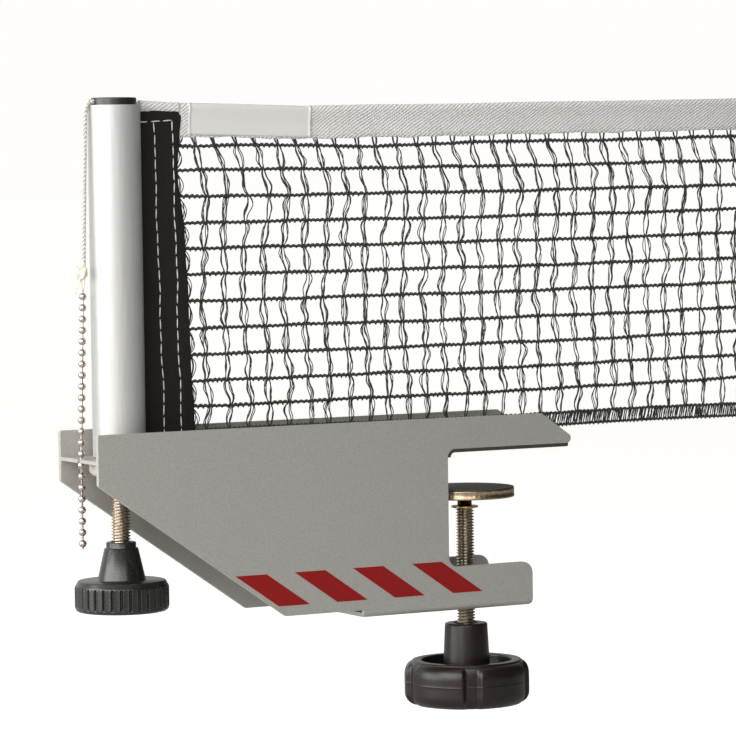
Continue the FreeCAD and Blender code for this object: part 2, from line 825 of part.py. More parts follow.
def along_chain(height):
    """The point of that line at a height over the table seat."""
    foot, direction = chain_line()
    return foot + direction * ((height - foot.z) / direction.z)


def tension_cord():
    """Free end of the same cord, pulled tight from the cap's notch down to the knot."""
    start = FreeCAD.Vector(notch_place(), 0, value(CORD_LEVEL))
    corner = FreeCAD.Vector(along_chain(value(CORD_LEVEL)).x, 0, value(CORD_LEVEL))
    end = along_chain(value("knot_top"))
    solid = cord_pipe([start, corner, end], [value("cord_bend")], value("cord_width"))
    return new_feature("tension_cord", solid)


def lean_on_chain_line(body):
    """Stand a body on the seat plate along the chain's line."""
    foot, direction = chain_line()
    turn = FreeCAD.Rotation(FreeCAD.Vector(0, 0, 1), direction)
    body.Placement = FreeCAD.Placement(foot, turn)
    body.setExpression("Placement.Base.x", bound(f"-{CHAIN_OFFSET}"))
    body.setExpression("Placement.Base.z", bound(SEAT_TOP))


def cord_knot():
    """Knot in the cord's end, with the thin loop that holds the first ball."""
    body = new_body("cord_knot")
    lean_on_chain_line(body)
    half = new_sketch(body, "XZ_Plane")
    low = f"knot_bottom - {SEAT_TOP}"
    high = f"knot_top - {SEAT_TOP}"
    middle = f"(knot_bottom + knot_top) / 2 - {SEAT_TOP}"
    third = "(knot_top - knot_bottom) / 4"
    rounding = "(knot_top - knot_bottom) / 9"
    draw_outline(half, [
        ("0", UPPER_END),
        ("loop_width / 2", UPPER_END),
        ("loop_width / 2", low),
        ("knot_width / 2", f"{low} + {third} / 2", rounding),
        ("knot_waist / 2", middle),
        ("knot_width / 2", f"{high} - {third} / 2", rounding),
        ("cord_width / 2", high),
        ("0", high),
    ])
    revolve(body, half)
    return body


def ball_string(body, first, count, low, high):
    """Balls on a wire, all along the body's own Z axis, from the lowest ball upwards."""
    wire = new_sketch(body, "XY_Plane", low)
    draw_circle(wire, "0", "0", "link_width")
    pad(body, wire, f"{high} - ({low})")
    half = new_sketch(body, "XZ_Plane")
    centre = FreeCAD.Vector(0, value(first), 0)
    radius = value("ball_width / 2")
    arc = Part.ArcOfCircle(Part.Circle(centre, FreeCAD.Vector(0, 0, 1), radius), -math.pi / 2, math.pi / 2)
    round_side = half.addGeometry(arc, False)
    flat = half.addGeometry(Part.LineSegment(arc.StartPoint, arc.EndPoint), False)
    half.addConstraint(Sketcher.Constraint("Coincident", flat, 1, round_side, 1))
    half.addConstraint(Sketcher.Constraint("Coincident", flat, 2, round_side, 2))
    half.addConstraint(Sketcher.Constraint("PointOnObject", round_side, 3, flat))
    half.addConstraint(Sketcher.Constraint("Vertical", flat))
    pin_point(half, round_side, 3, "0", first)
    number = half.addConstraint(Sketcher.Constraint("Radius", round_side, radius))
    half.setExpression(f"Constraints[{number}]", bound("ball_width / 2"))
    ball = revolve(body, half)
    row = body.newObject("PartDesign::LinearPattern", f"{body.Label}_row")
    row.Originals = [ball]
    axis = next(item for item in body.Origin.OriginFeatures if item.Role == "Z_Axis")
    row.Direction = (axis, [""])
    row.setExpression("Length", bound(f"ball_pitch * ({count} - 1)"))
    row.setExpression("Occurrences", bound(count))
    body.Tip = row
    finish_feature(body, row, True, ball)


def bead_chain():
    """The chain's taut part, from the slot's ball up to the cord's loop."""
    body = new_body("bead_chain")
    lean_on_chain_line(body)
    ball_string(body, FIRST_BALL, "upper_balls", f"{FIRST_BALL} - ball_pitch + ball_width / 2 + running_gap", UPPER_END)
    return body


def chain_tail():
    """The chain's loose end: its top ball is caught in the slot from below, the rest hangs."""
    body = new_body("chain_tail", x=f"-{CHAIN_OFFSET}", z=TAIL_LEVEL)
    lowest = "-ball_pitch * (lower_balls - 1)"
    ball_string(body, lowest, "lower_balls", f"{lowest} - ball_width / 2 - tail_end", "0")
    return body


def yz_arc(x, centre, radius, start, end):
    """Arc in a plane square to X, between two angles in degrees."""
    angles = [math.radians(angle) for angle in (start, (start + end) / 2, end)]
    points = [
        FreeCAD.Vector(x, radius * math.cos(angle), centre + radius * math.sin(angle))
        for angle in angles
    ]
    return Part.Arc(*points).toShape()


def tape_section(x, depth):
    """Section of the folded tape: a casing round the cord and two legs below it."""
    centre = cord_height(x)
    inner = value("cord_width / 2 + tape_casing_gap")
    outer = inner + value("tape_cloth")
    gap = value("tape_leg_gap")
    leg = gap + value("tape_cloth")
    outer_open = math.degrees(math.asin(leg / outer))
    inner_open = math.degrees(math.asin(gap / inner))
    low = centre + outer - depth
    edges = []
    stops = [outer_open - 90, 0, 90, 180, 270 - outer_open]
    for start, end in zip(stops, stops[1:]):
        edges.append(yz_arc(x, centre, outer, start, end))
    stops = [270 - inner_open, 180, 90, 0, inner_open - 90]
    inner_arcs = [yz_arc(x, centre, inner, start, end) for start, end in zip(stops, stops[1:])]
    corners = [
        FreeCAD.Vector(x, -leg, centre - math.sqrt(outer ** 2 - leg ** 2)),
        FreeCAD.Vector(x, -leg, low),
        FreeCAD.Vector(x, -gap, low),
        FreeCAD.Vector(x, -gap, centre - math.sqrt(inner ** 2 - gap ** 2)),
    ]
    left_leg = [Part.LineSegment(a, b).toShape() for a, b in zip(corners, corners[1:])]
    mirrored = [FreeCAD.Vector(point.x, -point.y, point.z) for point in reversed(corners)]
    right_leg = [Part.LineSegment(a, b).toShape() for a, b in zip(mirrored, mirrored[1:])]
    return Part.Wire(edges + left_leg + inner_arcs + right_leg)


def net_tape():
    """White tape folded over the cord, narrowed to a collar beside the post."""
    collar = value("cord_width + 2 * tape_casing_gap + 2 * tape_cloth + tape_casing_slack")
    deep = value("tape_depth + cord_width / 2 + tape_casing_gap")
    route = cord_route()
    places = [(x, collar) for x, z in route[:2]]
    places.append((net_place("tape_wide_start - tape_step"), collar))
    places.append((net_place("tape_wide_start"), deep))
    places += [(x, deep) for x, z in route[3:]]
    sections = [tape_section(x, depth) for x, depth in places]
    return new_feature("net_tape", Part.makeLoft(sections, True, True))


def label_section(x):
    """Section of the sewn label, which follows the tape's front."""
    centre = cord_height(x)
    outer = value("cord_width / 2 + tape_casing_gap + tape_cloth")
    leg = value("tape_leg_gap + tape_cloth")
    gap = value("seam_gap")
    low = centre - value("label_height")
    back = [
        (outer + gap, centre),
        (outer - value("label_press"), centre - value("label_bulge_share") * outer - gap),
        (leg + gap, centre - value("label_waist_share") * outer),
        (leg + gap, low),
    ]
    thick = value("label_thick")
    front = [(y + thick, z) for y, z in reversed(back)]
    points = [FreeCAD.Vector(x, -y, z) for y, z in back + front]
    return Part.makePolygon(points + points[:1])


def net_label():
    """Bare cloth label sewn on the tape's front."""
    places = (net_place("label_start"), net_place("label_start + label_length"))
    return new_feature("net_label", Part.makeLoft([label_section(x) for x in places], True, True))


def net_mesh():
    """The mesh as one holed sheet between band, tape and hem, cut off past the bracket."""
    edge_top = net_place(BAND_REACH_TOP)
    edge_low = net_place("band_reach_low")
    rise = value("row_rise") / (value("net_end") - edge_low)
    band_top = value("band_top")
    band_bottom = value("band_bottom")
    end = value("net_end")
    thick = value("mesh_thick")

    def edge_at(z):
        share = (z - band_bottom) / (band_top - band_bottom)
        return edge_low + (edge_top - edge_low) * share + value("seam_gap")

    def place(x_from_edge, x_share, z):
        left = edge_at(z)
        x = left + x_from_edge + (end - left) * x_share
        return FreeCAD.Vector(x, -thick / 2, z + rise * (x - edge_low))

    strand = value("strand_width")
    bundle = value("bundle_width")
    rows = [value("first_row") - value("row_pitch") * index for index in range(round(value("row_count")))]
    gaps = [(rows[0] + strand / 2, rows[0] + value("mesh_tuck"))]
    gaps += [(low + strand / 2, high - strand / 2) for high, low in zip(rows, rows[1:])]
    gaps.append((value(HEM_TOP), rows[-1] - strand / 2))
    bottom = value(HEM_TOP) - value("hem_depth")
    top = rows[0] + value("mesh_tuck + mesh_border")
    rim = [place(0, 0, bottom), place(0, 1, bottom), place(0, 1, top), place(0, 0, top)]
    wires = [Part.makePolygon(rim + rim[:1])]
    columns = round(value("column_count"))
    for low, high in gaps:
        for column in range(columns):
            left = column / columns
            right = (column + 1) / columns
            hole = [
                place(bundle / 2, left, low),
                place(-bundle / 2, right, low),
                place(-bundle / 2, right, high),
                place(bundle / 2, left, high),
            ]
            wires.append(Part.makePolygon(hole + hole[:1]))
    face = Part.makeFace(wires, "Part::FaceMakerBullseye")
    return new_feature("net_mesh", face.extrude(FreeCAD.Vector(0, thick, 0)))


SUB_PARTS = [
    bracket_shell, seat_plate, seat_rubber, guide_bush,
    post_tube, post_plug, post_cap, net_rod,
    height_screw, height_knob,
    clamp_nut, clamp_screw, screw_clip, pad_cup, pad_rubber, star_knob,
    net_band, net_tape, tape_cord, net_label, net_mesh,
    tension_cord, cord_knot, bead_chain, chain_tail,
]

sub_parts = [make() for make in SUB_PARTS]
doc.recompute()
for item in doc.Objects:
    if "Invalid" in item.State or "Error" in item.State:
        raise RuntimeError(f"{item.Name} failed: {item.State}")
os.makedirs("parts", exist_ok=True)
for item in sub_parts:
    if item.Shape.isNull() or not item.Shape.isValid():
        raise RuntimeError(f"{item.Label} has no valid shape")
    box = item.Shape.BoundBox
    print(f"{item.Label:15s} solids {len(item.Shape.Solids)} volume {item.Shape.Volume:10.1f} "
          f"x {box.XMin:8.2f} {box.XMax:8.2f} y {box.YMin:7.2f} {box.YMax:7.2f} z {box.ZMin:8.2f} {box.ZMax:8.2f}")
for item in sub_parts:
    item.Shape.exportStep(f"parts/{item.Label}.step")
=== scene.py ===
import math
import random

import bmesh
import bpy
from mathutils import Matrix, Vector


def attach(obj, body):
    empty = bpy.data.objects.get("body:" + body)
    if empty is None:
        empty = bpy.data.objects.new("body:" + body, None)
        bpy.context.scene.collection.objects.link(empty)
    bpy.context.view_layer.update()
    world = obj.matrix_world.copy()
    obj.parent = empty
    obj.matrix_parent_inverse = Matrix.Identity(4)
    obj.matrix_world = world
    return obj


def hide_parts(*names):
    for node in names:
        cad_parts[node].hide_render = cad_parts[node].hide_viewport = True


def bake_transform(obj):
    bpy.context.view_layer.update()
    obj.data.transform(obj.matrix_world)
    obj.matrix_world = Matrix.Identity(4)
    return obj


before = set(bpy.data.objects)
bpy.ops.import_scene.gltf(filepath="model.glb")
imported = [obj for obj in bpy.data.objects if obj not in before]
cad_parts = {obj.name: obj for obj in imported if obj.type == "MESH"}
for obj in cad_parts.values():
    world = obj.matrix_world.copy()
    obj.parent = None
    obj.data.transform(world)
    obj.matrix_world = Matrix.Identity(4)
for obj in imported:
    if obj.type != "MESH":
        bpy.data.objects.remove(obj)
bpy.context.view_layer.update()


# ---- Bracket ----
# One steel sheet of 2 mm, cut with its jaw and folded to a U, powder coated in satin silver.
# Its cut edges catch the light as a thin line, so the merged copy gets a small round there.
MM = 0.001


def add_node(tree, kind, numbers=None, **settings):
    """A new node with its settings made and the given inputs set."""
    made = tree.nodes.new(kind)
    for key, setting in settings.items():
        setattr(made, key, setting)
    for socket, number in (numbers or {}).items():
        made.inputs[socket].default_value = number
    return made


def wire(tree, *links):
    """Links in a node tree, each given as node, output, node, input."""
    for start, output, end, entry in links:
        tree.links.new(start.outputs[output], end.inputs[entry])


def new_material(name, colour, roughness, metallic=0.0, **more):
    """A material with its shader's plain values set."""
    material = bpy.data.materials.new(name)
    material.use_nodes = True
    inputs = material.node_tree.nodes["Principled BSDF"].inputs
    inputs["Base Color"].default_value = (*colour, 1)
    inputs["Roughness"].default_value = roughness
    inputs["Metallic"].default_value = metallic
    inputs["Specular IOR Level"].default_value = more.get("specular", 0.5)
    inputs["Sheen Weight"].default_value = more.get("sheen", 0.0)
    return material


def tone_ramp(material, source, output, low, high, places=(0, 1)):
    """The material's colour, between two tones, by what a node gives."""
    tree = material.node_tree
    ramp = add_node(tree, "ShaderNodeValToRGB")
    for end, tone, place in zip(ramp.color_ramp.elements, (low, high), places):
        end.position = place
        end.color = (*tone, 1)
    wire(tree, (source, output, ramp, "Fac"), (ramp, "Color", tree.nodes["Principled BSDF"], "Base Color"))


def relief(material, source, output, height):
    """Relief of a height in mm, by what a node gives."""
    tree = material.node_tree
    bump = add_node(tree, "ShaderNodeBump", {"Distance": height * MM})
    wire(tree, (source, output, bump, "Height"), (bump, "Normal", tree.nodes["Principled BSDF"], "Normal"))


def grain(material, size, detail, squeeze):
    """Noise with grains of about the given size in mm, which stays with the object."""
    tree = material.node_tree
    place = add_node(tree, "ShaderNodeTexCoord")
    turn = add_node(tree, "ShaderNodeMapping", {"Scale": squeeze})
    noise = add_node(tree, "ShaderNodeTexNoise", {"Scale": 1 / (size * MM), "Detail": detail})
    wire(tree, (place, "Object", turn, "Vector"), (turn, "Vector", noise, "Vector"))
    return noise


def speckle(material, low, high, size, squeeze=(1, 1, 1)):
    """Colour that varies between two tones in grains of about the given size in mm."""
    tone_ramp(material, grain(material, size, 3, squeeze), "Fac", low, high, (0.28, 0.72))


def grain_bump(material, size, height, squeeze=(1, 1, 1)):
    """Fine relief of the given grain size and height, both in mm."""
    relief(material, grain(material, size, 2, squeeze), "Fac", height)


def place_object(name, mesh, material, body):
    """An object at the origin that carries the mesh and, where one is named, moves with a body."""
    piece = bpy.data.objects.new(name, mesh)
    bpy.context.scene.collection.objects.link(piece)
    piece.data.materials.clear()
    piece.data.materials.append(material)
    if body is not None:
        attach(piece, body)
    return piece


def stand_for(piece, node):
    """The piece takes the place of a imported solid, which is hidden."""
    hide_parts(node)


def eased_copy(node, name, material, body, width):
    """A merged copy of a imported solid, with its sharp edges rounded, that stands for it."""
    work = bmesh.new()
    work.from_mesh(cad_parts[node].data)
    bmesh.ops.remove_doubles(work, verts=work.verts, dist=2e-6)
    bmesh.ops.dissolve_limit(work, angle_limit=math.radians(0.6), verts=work.verts, edges=work.edges)
    for face in work.faces:
        face.smooth = True
    mesh = bpy.data.meshes.new(name)
    work.to_mesh(mesh)
    work.free()
    piece = place_object(name, mesh, material, body)
    rounding = piece.modifiers.new("eased edges", "BEVEL")
    rounding.width = width * MM
    rounding.segments = 2
    rounding.limit_method = "ANGLE"
    rounding.angle_limit = math.radians(30)
    rounding.miter_outer = "MITER_ARC"
    level = piece.modifiers.new("even shading", "WEIGHTED_NORMAL")
    level.keep_sharp = False
    stand_for(piece, node)


silver_paint = new_material("silver_powder_coat", (0.36, 0.35, 0.33), 0.42, 0.3)
speckle(silver_paint, (0.345, 0.336, 0.312), (0.463, 0.452, 0.422), 0.45)
grain_bump(silver_paint, 0.55, 0.022)
eased_copy("bracket_shell", "bracket_sheet", silver_paint, "bracket", 0.32)


# ---- Stripes ----
# Four slanting bars screen-printed in red along the foot of the front plate, each a thin film
# that lies on the powder coat.
def add_mesh(name, points, faces, material, body, smooth=True, cloth=None):
    """A piece from points in mm; cloth gives each point its place on the flat cloth, in mm."""
    mesh = bpy.data.meshes.new(name)
    mesh.from_pydata([[number * MM for number in point] for point in points], [], faces)
    mesh.update()
    if cloth is not None:
        layer = mesh.attributes.new("cloth", "FLOAT_VECTOR", "POINT")
        for index, (across, along) in enumerate(cloth):
            layer.data[index].vector = (across, along, 0)
    work = bmesh.new()
    work.from_mesh(mesh)
    bmesh.ops.remove_doubles(work, verts=work.verts, dist=1e-7)
    bmesh.ops.recalc_face_normals(work, faces=work.faces)
    for face in work.faces:
        face.smooth = smooth
    work.to_mesh(mesh)
    work.free()
    return place_object(name, mesh, material, body)


red_paint = new_material("red_print", (0.235, 0.012, 0.011), 0.36, specular=0.25)
speckle(red_paint, (0.23, 0.006, 0.006), (0.29, 0.010, 0.009), 0.5)
grain_bump(red_paint, 0.55, 0.012)

stripe_lefts = (-121.0, -93.5, -65.9, -37.5)
stripe_top = -46.0
stripe_bottom = -59.7
stripe_width = 14.5
stripe_slant = 20.0
film_sides = (-19.19, -19.24)
stripe_points = []
stripe_faces = []
for left in stripe_lefts:
    first = len(stripe_points)
    corners = [
        (left, stripe_top), (left + stripe_width, stripe_top),
        (left + stripe_width + stripe_slant, stripe_bottom), (left + stripe_slant, stripe_bottom),
    ]
    stripe_points += [(x, y, z) for y in film_sides for x, z in corners]
    stripe_faces += [[first + n for n in loop] for loop in (
        (0, 1, 2, 3), (7, 6, 5, 4), (0, 4, 5, 1), (1, 5, 6, 2), (2, 6, 7, 3), (3, 7, 4, 0))]
stripes = add_mesh("front_stripes", stripe_points, stripe_faces, red_paint, "bracket", smooth=False)


# ---- Seat plate, rubber and bush ----
# A flat steel strip welded between the side plates, a black rubber strip glued under it in the
# jaw, and the moulded guide that steers the post's tube.
eased_copy("seat_plate", "seat_strip", silver_paint, "bracket", 0.25)

black_rubber = new_material("black_rubber", (0.035, 0.030, 0.024), 0.62)
speckle(black_rubber, (0.022, 0.019, 0.016), (0.060, 0.052, 0.042), 0.7)
grain_bump(black_rubber, 0.4, 0.05)
eased_copy("seat_rubber", "seat_rubber_strip", black_rubber, "bracket", 0.2)

bush_plastic = new_material("bush_plastic", (0.56, 0.53, 0.50), 0.45)
speckle(bush_plastic, (0.50, 0.47, 0.45), (0.62, 0.59, 0.56), 1.2)
grain_bump(bush_plastic, 0.6, 0.02)
eased_copy("guide_bush", "post_guide", bush_plastic, "bracket", 0.3)


# ---- Nut ----
# A hexagon nut of 13 mm across its flats, zinc plated, that is welded on the web over its
# hole and takes the clamp screw.
zinc = new_material("zinc_plate", (0.42, 0.35, 0.27), 0.27, 1.0)
speckle(zinc, (0.30, 0.24, 0.18), (0.52, 0.45, 0.36), 1.6)
grain_bump(zinc, 0.6, 0.007)
eased_copy("clamp_nut", "clamp_hexagon_nut", zinc, "bracket", 0.5)


# ---- Screws ----
# Two rolled M8 rods with a pitch of 1.25 mm, zinc plated with a yellowish tint.  The clamp
# screw ends in a thin pin with a riveted head; a spring clip sits just over its shoulder.
post_x = -163.4
thread_pitch = 1.25
thread_root = 3.2
thread_outer = 4.0
screw_columns = 40


def around(radius, angle, height, x=0.0):
    """A point in mm at a radius and an angle round an upright axis."""
    return x + radius * math.cos(angle), radius * math.sin(angle), height


def ring_faces(rows, columns, ends=True):
    """Faces between rows of closed rings with the given number of columns, and over both ends."""
    faces = []
    for row in range(rows - 1):
        for column in range(columns):
            after = (column + 1) % columns
            faces.append([row * columns + column, row * columns + after,
                          (row + 1) * columns + after, (row + 1) * columns + column])
    if ends:
        faces.append(list(range(columns)))
        faces.append([(rows - 1) * columns + column for column in reversed(range(columns))])
    return faces


def thread(x, bottom, top):
    """A helical thread cut off flat at both heights, as a new bmesh."""
    shape = ((0.0, thread_root), (0.2, thread_root), (0.43, thread_outer), (0.57, thread_outer), (0.8, thread_root))
    first = math.floor(bottom / thread_pitch) - 2
    count = math.ceil(top / thread_pitch) + 2 - first
    work = bmesh.new()
    rows = []
    for turn in range(count):
        for share, radius in shape:
            row = []
            for column in range(screw_columns):
                height = thread_pitch * (first + turn + share + column / screw_columns)
                row.append(work.verts.new(around(radius, math.tau * column / screw_columns, height, x)))
            rows.append(row)
    step = len(shape)
    for low in range(len(rows) - 1 - step):
        here, above = rows[low], rows[low + 1]
        for column in range(screw_columns - 1):
            work.faces.new((here[column], here[column + 1], above[column + 1], above[column]))
        work.faces.new((here[-1], rows[low + step][0], rows[low + 1 + step][0], above[-1]))
    for height, up in ((bottom, -1), (top, 1)):
        cut = bmesh.ops.bisect_plane(work, geom=work.verts[:] + work.edges[:] + work.faces[:],
                                     plane_co=(x, 0, height), plane_no=(0, 0, up), clear_outer=True)
        rim = [item for item in cut["geom_cut"] if isinstance(item, bmesh.types.BMEdge)]
        bmesh.ops.edgeloop_fill(work, edges=rim)
    return work


def finish_screw(work, name, body, node, pin=()):
    """Adds the turned pin, scales the screw to metres and lets it stand for its node."""
    made = [work.verts.new(around(radius, math.tau * column / screw_columns, height))
            for radius, height in pin for column in range(screw_columns)]
    for face in ring_faces(len(pin), screw_columns) if pin else ():
        work.faces.new([made[index] for index in face])
    bmesh.ops.scale(work, vec=(MM, MM, MM), verts=work.verts)
    bmesh.ops.recalc_face_normals(work, faces=work.faces)
    for face in work.faces:
        face.smooth = len(face.verts) == 4
    mesh = bpy.data.meshes.new(name)
    work.to_mesh(mesh)
    work.free()
    stand_for(place_object(name, mesh, zinc, body), node)


finish_screw(thread(post_x, -55.5, 39.4), "height_thread", "height_drive", "height_screw")
pin_profile = [(3.1, -25.7), (3.1, -17.9), (4.1, -17.88), (4.25, -17.7), (4.25, -17.25), (4.05, -17.06)]
finish_screw(thread(0.0, -104.8, -25.5), "clamp_thread", "clamp_drive", "clamp_screw", pin_profile)

clip_steel = new_material("yellow_passivated_clip", (0.62, 0.45, 0.18), 0.3, 1.0)
speckle(clip_steel, (0.52, 0.36, 0.13), (0.70, 0.54, 0.25), 1.0)
eased_copy("screw_clip", "pin_clip", clip_steel, "clamp_drive", 0.12)


# ---- Pad ----
# A pressed steel cup that swivels on the pin, with a knurled side over a plain lip, and the
# thin rubber disc that meets the table.
cup_columns = 180
knurled_radius = 21.2
knurl_height = 0.16
cup_profile = [
    (4.35, -17.0), (20.9, -17.0), (21.3, -17.08), (21.45, -17.4), (21.2, -17.75), (21.2, -19.7), (21.45, -19.95),
    (21.5, -20.3), (21.4, -20.7), (21.1, -20.8), (20.5, -20.75), (20.35, -20.4), (20.3, -18.9), (19.8, -18.65),
    (6.4, -18.6), (6.0, -18.75), (6.0, -20.4), (5.8, -20.6), (3.16, -20.6), (3.16, -17.9), (4.35, -17.9),
    (4.35, -17.0),
]
cup_points = []
for radius, height in cup_profile:
    for column in range(cup_columns):
        knurl = knurl_height * (column % 3 == 0) if radius == knurled_radius else 0.0
        cup_points.append(around(radius + knurl, math.tau * column / cup_columns, height))
cup_steel = new_material("pressed_cup_steel", (0.42, 0.33, 0.22), 0.34, 1.0)
speckle(cup_steel, (0.30, 0.22, 0.14), (0.52, 0.42, 0.29), 1.8)
grain_bump(cup_steel, 0.4, 0.02)
cup_faces = ring_faces(len(cup_profile), cup_columns, ends=False)
stand_for(add_mesh("pad_cup_pressed", cup_points, cup_faces, cup_steel, "pad"), "pad_cup")
eased_copy("pad_rubber", "pad_disc", black_rubber, "pad", 0.12)


# ---- Star knob ----
# Moulded black plastic: five broad lobes stand out of a ring round a sunk floor, with a tall
# tapered hub in the middle and a faint mould line round the lobes.
star_top = -91.0
star_depth = 19.0
star_turn = math.radians(-79.6)
star_columns = 800
lobe_reach = 26.9
lobe_half_width = 13.2
lobe_top = -0.8
lobe_corner = 3.0
ring_reach = 23.7
foot_start = -14.0
foot_height = 5.0
mould_line_height = -9.3
groove_depth = 0.07


def smooth_step(value):
    """From 0 to 1 without a kink at either end."""
    value = min(max(value, 0.0), 1.0)
    return value * value * (3 - 2 * value)


def past_crease(angle, height):
    """Distance in mm past the crease round the nearest lobe's face, below 0 on the face."""
    away = math.remainder(angle - star_turn, math.tau / 5)
    across = abs(away) * lobe_reach - lobe_half_width + lobe_corner
    above = height - lobe_top + lobe_corner
    return math.hypot(max(across, 0), max(above, 0)) + min(max(across, above), 0) - lobe_corner


def foot_round(height):
    """How far the foot's quarter round has drawn in at a height, from 0 to 1."""
    low = max(0.0, foot_start - height) / foot_height
    return 1 - math.sqrt(max(0.0, 1 - low ** 2))


def ring_radius(height):
    """Radius of the ring between the lobes, rounded at its top and foot."""
    top = max(0.0, 0.9 + height) / 0.9
    return ring_reach - 0.8 * top ** 2.4 - 3.2 * foot_round(height)


def lobe_radius(height):
    """Radius of a lobe's middle, which draws in towards its top and foot."""
    top = min(max(0.0, 6.3 + height) / 5.5, 1.0)
    return lobe_reach - 3.2 * (1 - math.sqrt(1 - top ** 2)) - 5.0 * foot_round(height)


def star_radius(angle, height):
    """Radius of the knob's side: ring, lobe, the crease between them and the mould line."""
    past = past_crease(angle, height)
    ring = ring_radius(height)
    rise = max(0.0, lobe_radius(height) - ring) * (1 - 0.6 * smooth_step((past + 0.9) / 2.3))
    crease = groove_depth * math.exp(-((past + 0.2) / 0.28) ** 2)
    mould_line = groove_depth * math.exp(-((height - mould_line_height) / 0.12) ** 2)
    return ring + rise + crease + mould_line


side_heights = [
    -0.05, -0.2, -0.4, -0.6, -0.75, -0.87, -1.0, -1.15, -1.35, -1.6, -1.95, -2.4, -2.95, -3.6, -4.4, -5.3, -6.3, -7.3,
    -8.3, -9.05, -9.2, -9.3, -9.4, -9.55, -10.4, -11.6, -12.8, -14.0, -14.9, -15.7, -16.4, -17.0, -17.55, -18.0,
    -18.38, -18.67, -18.87, -18.98,
]
inner_rows = [
    (4.06, 14.0), (4.7, 14.9), (5.4, 15.55), (5.8, 15.75), (6.2, 15.8), (8.4, 15.8), (8.9, 15.65), (9.13, 15.3),
    (9.2, 14.8), (9.78, 3.0), (10.08, -3.0), (10.33, -7.2), (10.8, -7.9), (11.5, -8.1), (18.5, -8.1), (19.1, -7.9),
    (19.38, -7.3), (19.45, -1.0), (19.5, -0.4), (19.7, -0.1), (20.0, 0.0), (22.6, 0.0),
]
outer_rows = [(height, height, 1.0) for height in side_heights]
outer_rows += [(side_heights[-1], -star_depth, share) for share in (0.95, 0.8, 0.5, 0.2)]
star_angles = [math.tau * n / star_columns for n in range(star_columns)]
star_points = [around(radius, angle, star_top + height) for radius, height in inner_rows for angle in star_angles]
star_points += [around(star_radius(angle, level) * share, angle, star_top + height)
                for level, height, share in outer_rows for angle in star_angles]

knob_plastic = new_material("black_knob_plastic", (0.013, 0.0085, 0.0065), 0.30, specular=0.36)
speckle(knob_plastic, (0.008, 0.0055, 0.0045), (0.018, 0.012, 0.0095), 0.8)
grain_bump(knob_plastic, 0.5, 0.035)
star_faces = ring_faces(len(inner_rows) + len(outer_rows), star_columns)
star = add_mesh("star_knob_moulded", star_points, star_faces, knob_plastic, "clamp_drive")
stand_for(star, "star_knob")


# ---- Hand wheel ----
# Moulded black plastic: collar, cone and a wheel whose rim has 32 narrow upright slots, each with
# a slight lip beside it.
columns_per_slot = 16
wheel_columns = 32 * columns_per_slot
wheel_turn = math.radians(2.3)
rim_radius = 19.15
slot_top = -48.65
slot_foot = -57.35
slot_depth = 0.95
lip_height = 0.24
wheel_profile = [
    (4.06, -30.9), (4.5, -30.62), (5.7, -30.6), (6.05, -30.75), (6.1, -31.0), (6.1, -32.85), (6.2, -33.05),
    (6.7, -33.1), (6.95, -33.3), (9.78, -45.7), (9.95, -46.15), (10.3, -46.3), (17.5, -46.3), (17.85, -46.4),
    (18.1, -46.7), (18.85, -48.05), (19.08, -48.35),
]
wheel_profile += [(rim_radius, height) for height in (
    -48.6, -48.72, -48.9, -49.2, -49.8, -53.0, -56.2, -56.7, -57.0, -57.2, -57.4)]
wheel_profile += [(19.02, -57.9), (18.7, -58.4), (18.2, -58.75), (17.6, -58.9), (9.0, -58.9), (3.0, -58.9)]
wheel_points = []
for radius, height in wheel_profile:
    for column in range(wheel_columns):
        angle = math.tau * column / wheel_columns + wheel_turn
        share = abs((column % columns_per_slot) / columns_per_slot - 0.5)
        slot = slot_depth * min(1.0, 1.7 * max(0.0, 1 - share / 0.17))
        lip = lip_height * math.exp(-((share - 0.21) / 0.05) ** 2)
        sink = (slot - lip) * smooth_step((height - slot_foot) / 0.45) * smooth_step((slot_top - height) / 0.45)
        wheel_points.append(around(radius - sink if radius == rim_radius else radius, angle, height, post_x))
wheel_plastic = new_material("black_wheel_plastic", (0.012, 0.012, 0.011), 0.25)
speckle(wheel_plastic, (0.008, 0.008, 0.007), (0.019, 0.019, 0.018), 0.7)
grain_bump(wheel_plastic, 0.45, 0.03)
wheel_faces = ring_faces(len(wheel_profile), wheel_columns)
wheel = add_mesh("hand_wheel_moulded", wheel_points, wheel_faces, wheel_plastic, "height_drive")
stand_for(wheel, "height_knob")


# ---- Post ----
# A drawn aluminium tube of 22 mm, satin anodised, with a slot for the net's band.  A moulded cap
# closes it, and inside are the plug on the height screw's tip and the steel rod in the band.
anodised = new_material("satin_anodised", (0.44, 0.438, 0.43), 0.40, 0.22)
speckle(anodised, (0.42, 0.42, 0.41), (0.48, 0.48, 0.47), 0.5, squeeze=(1, 1, 0.03))
grain_bump(anodised, 0.3, 0.006, squeeze=(1, 1, 0.05))
eased_copy("post_tube", "post_tube_drawn", anodised, "post", 0.2)

cap_plastic = new_material("cap_plastic", (0.016, 0.014, 0.013), 0.33)
speckle(cap_plastic, (0.012, 0.010, 0.010), (0.026, 0.023, 0.021), 0.8)
grain_bump(cap_plastic, 0.5, 0.015)
eased_copy("post_cap", "post_cap_moulded", cap_plastic, "post", 0.3)
eased_copy("post_plug", "tube_plug", cap_plastic, "post", 0.4)

rod_steel = new_material("drawn_rod_steel", (0.55, 0.55, 0.55), 0.3, 1.0)
speckle(rod_steel, (0.48, 0.48, 0.48), (0.60, 0.60, 0.60), 0.8)
eased_copy("net_rod", "band_rod", rod_steel, "post", 0.3)


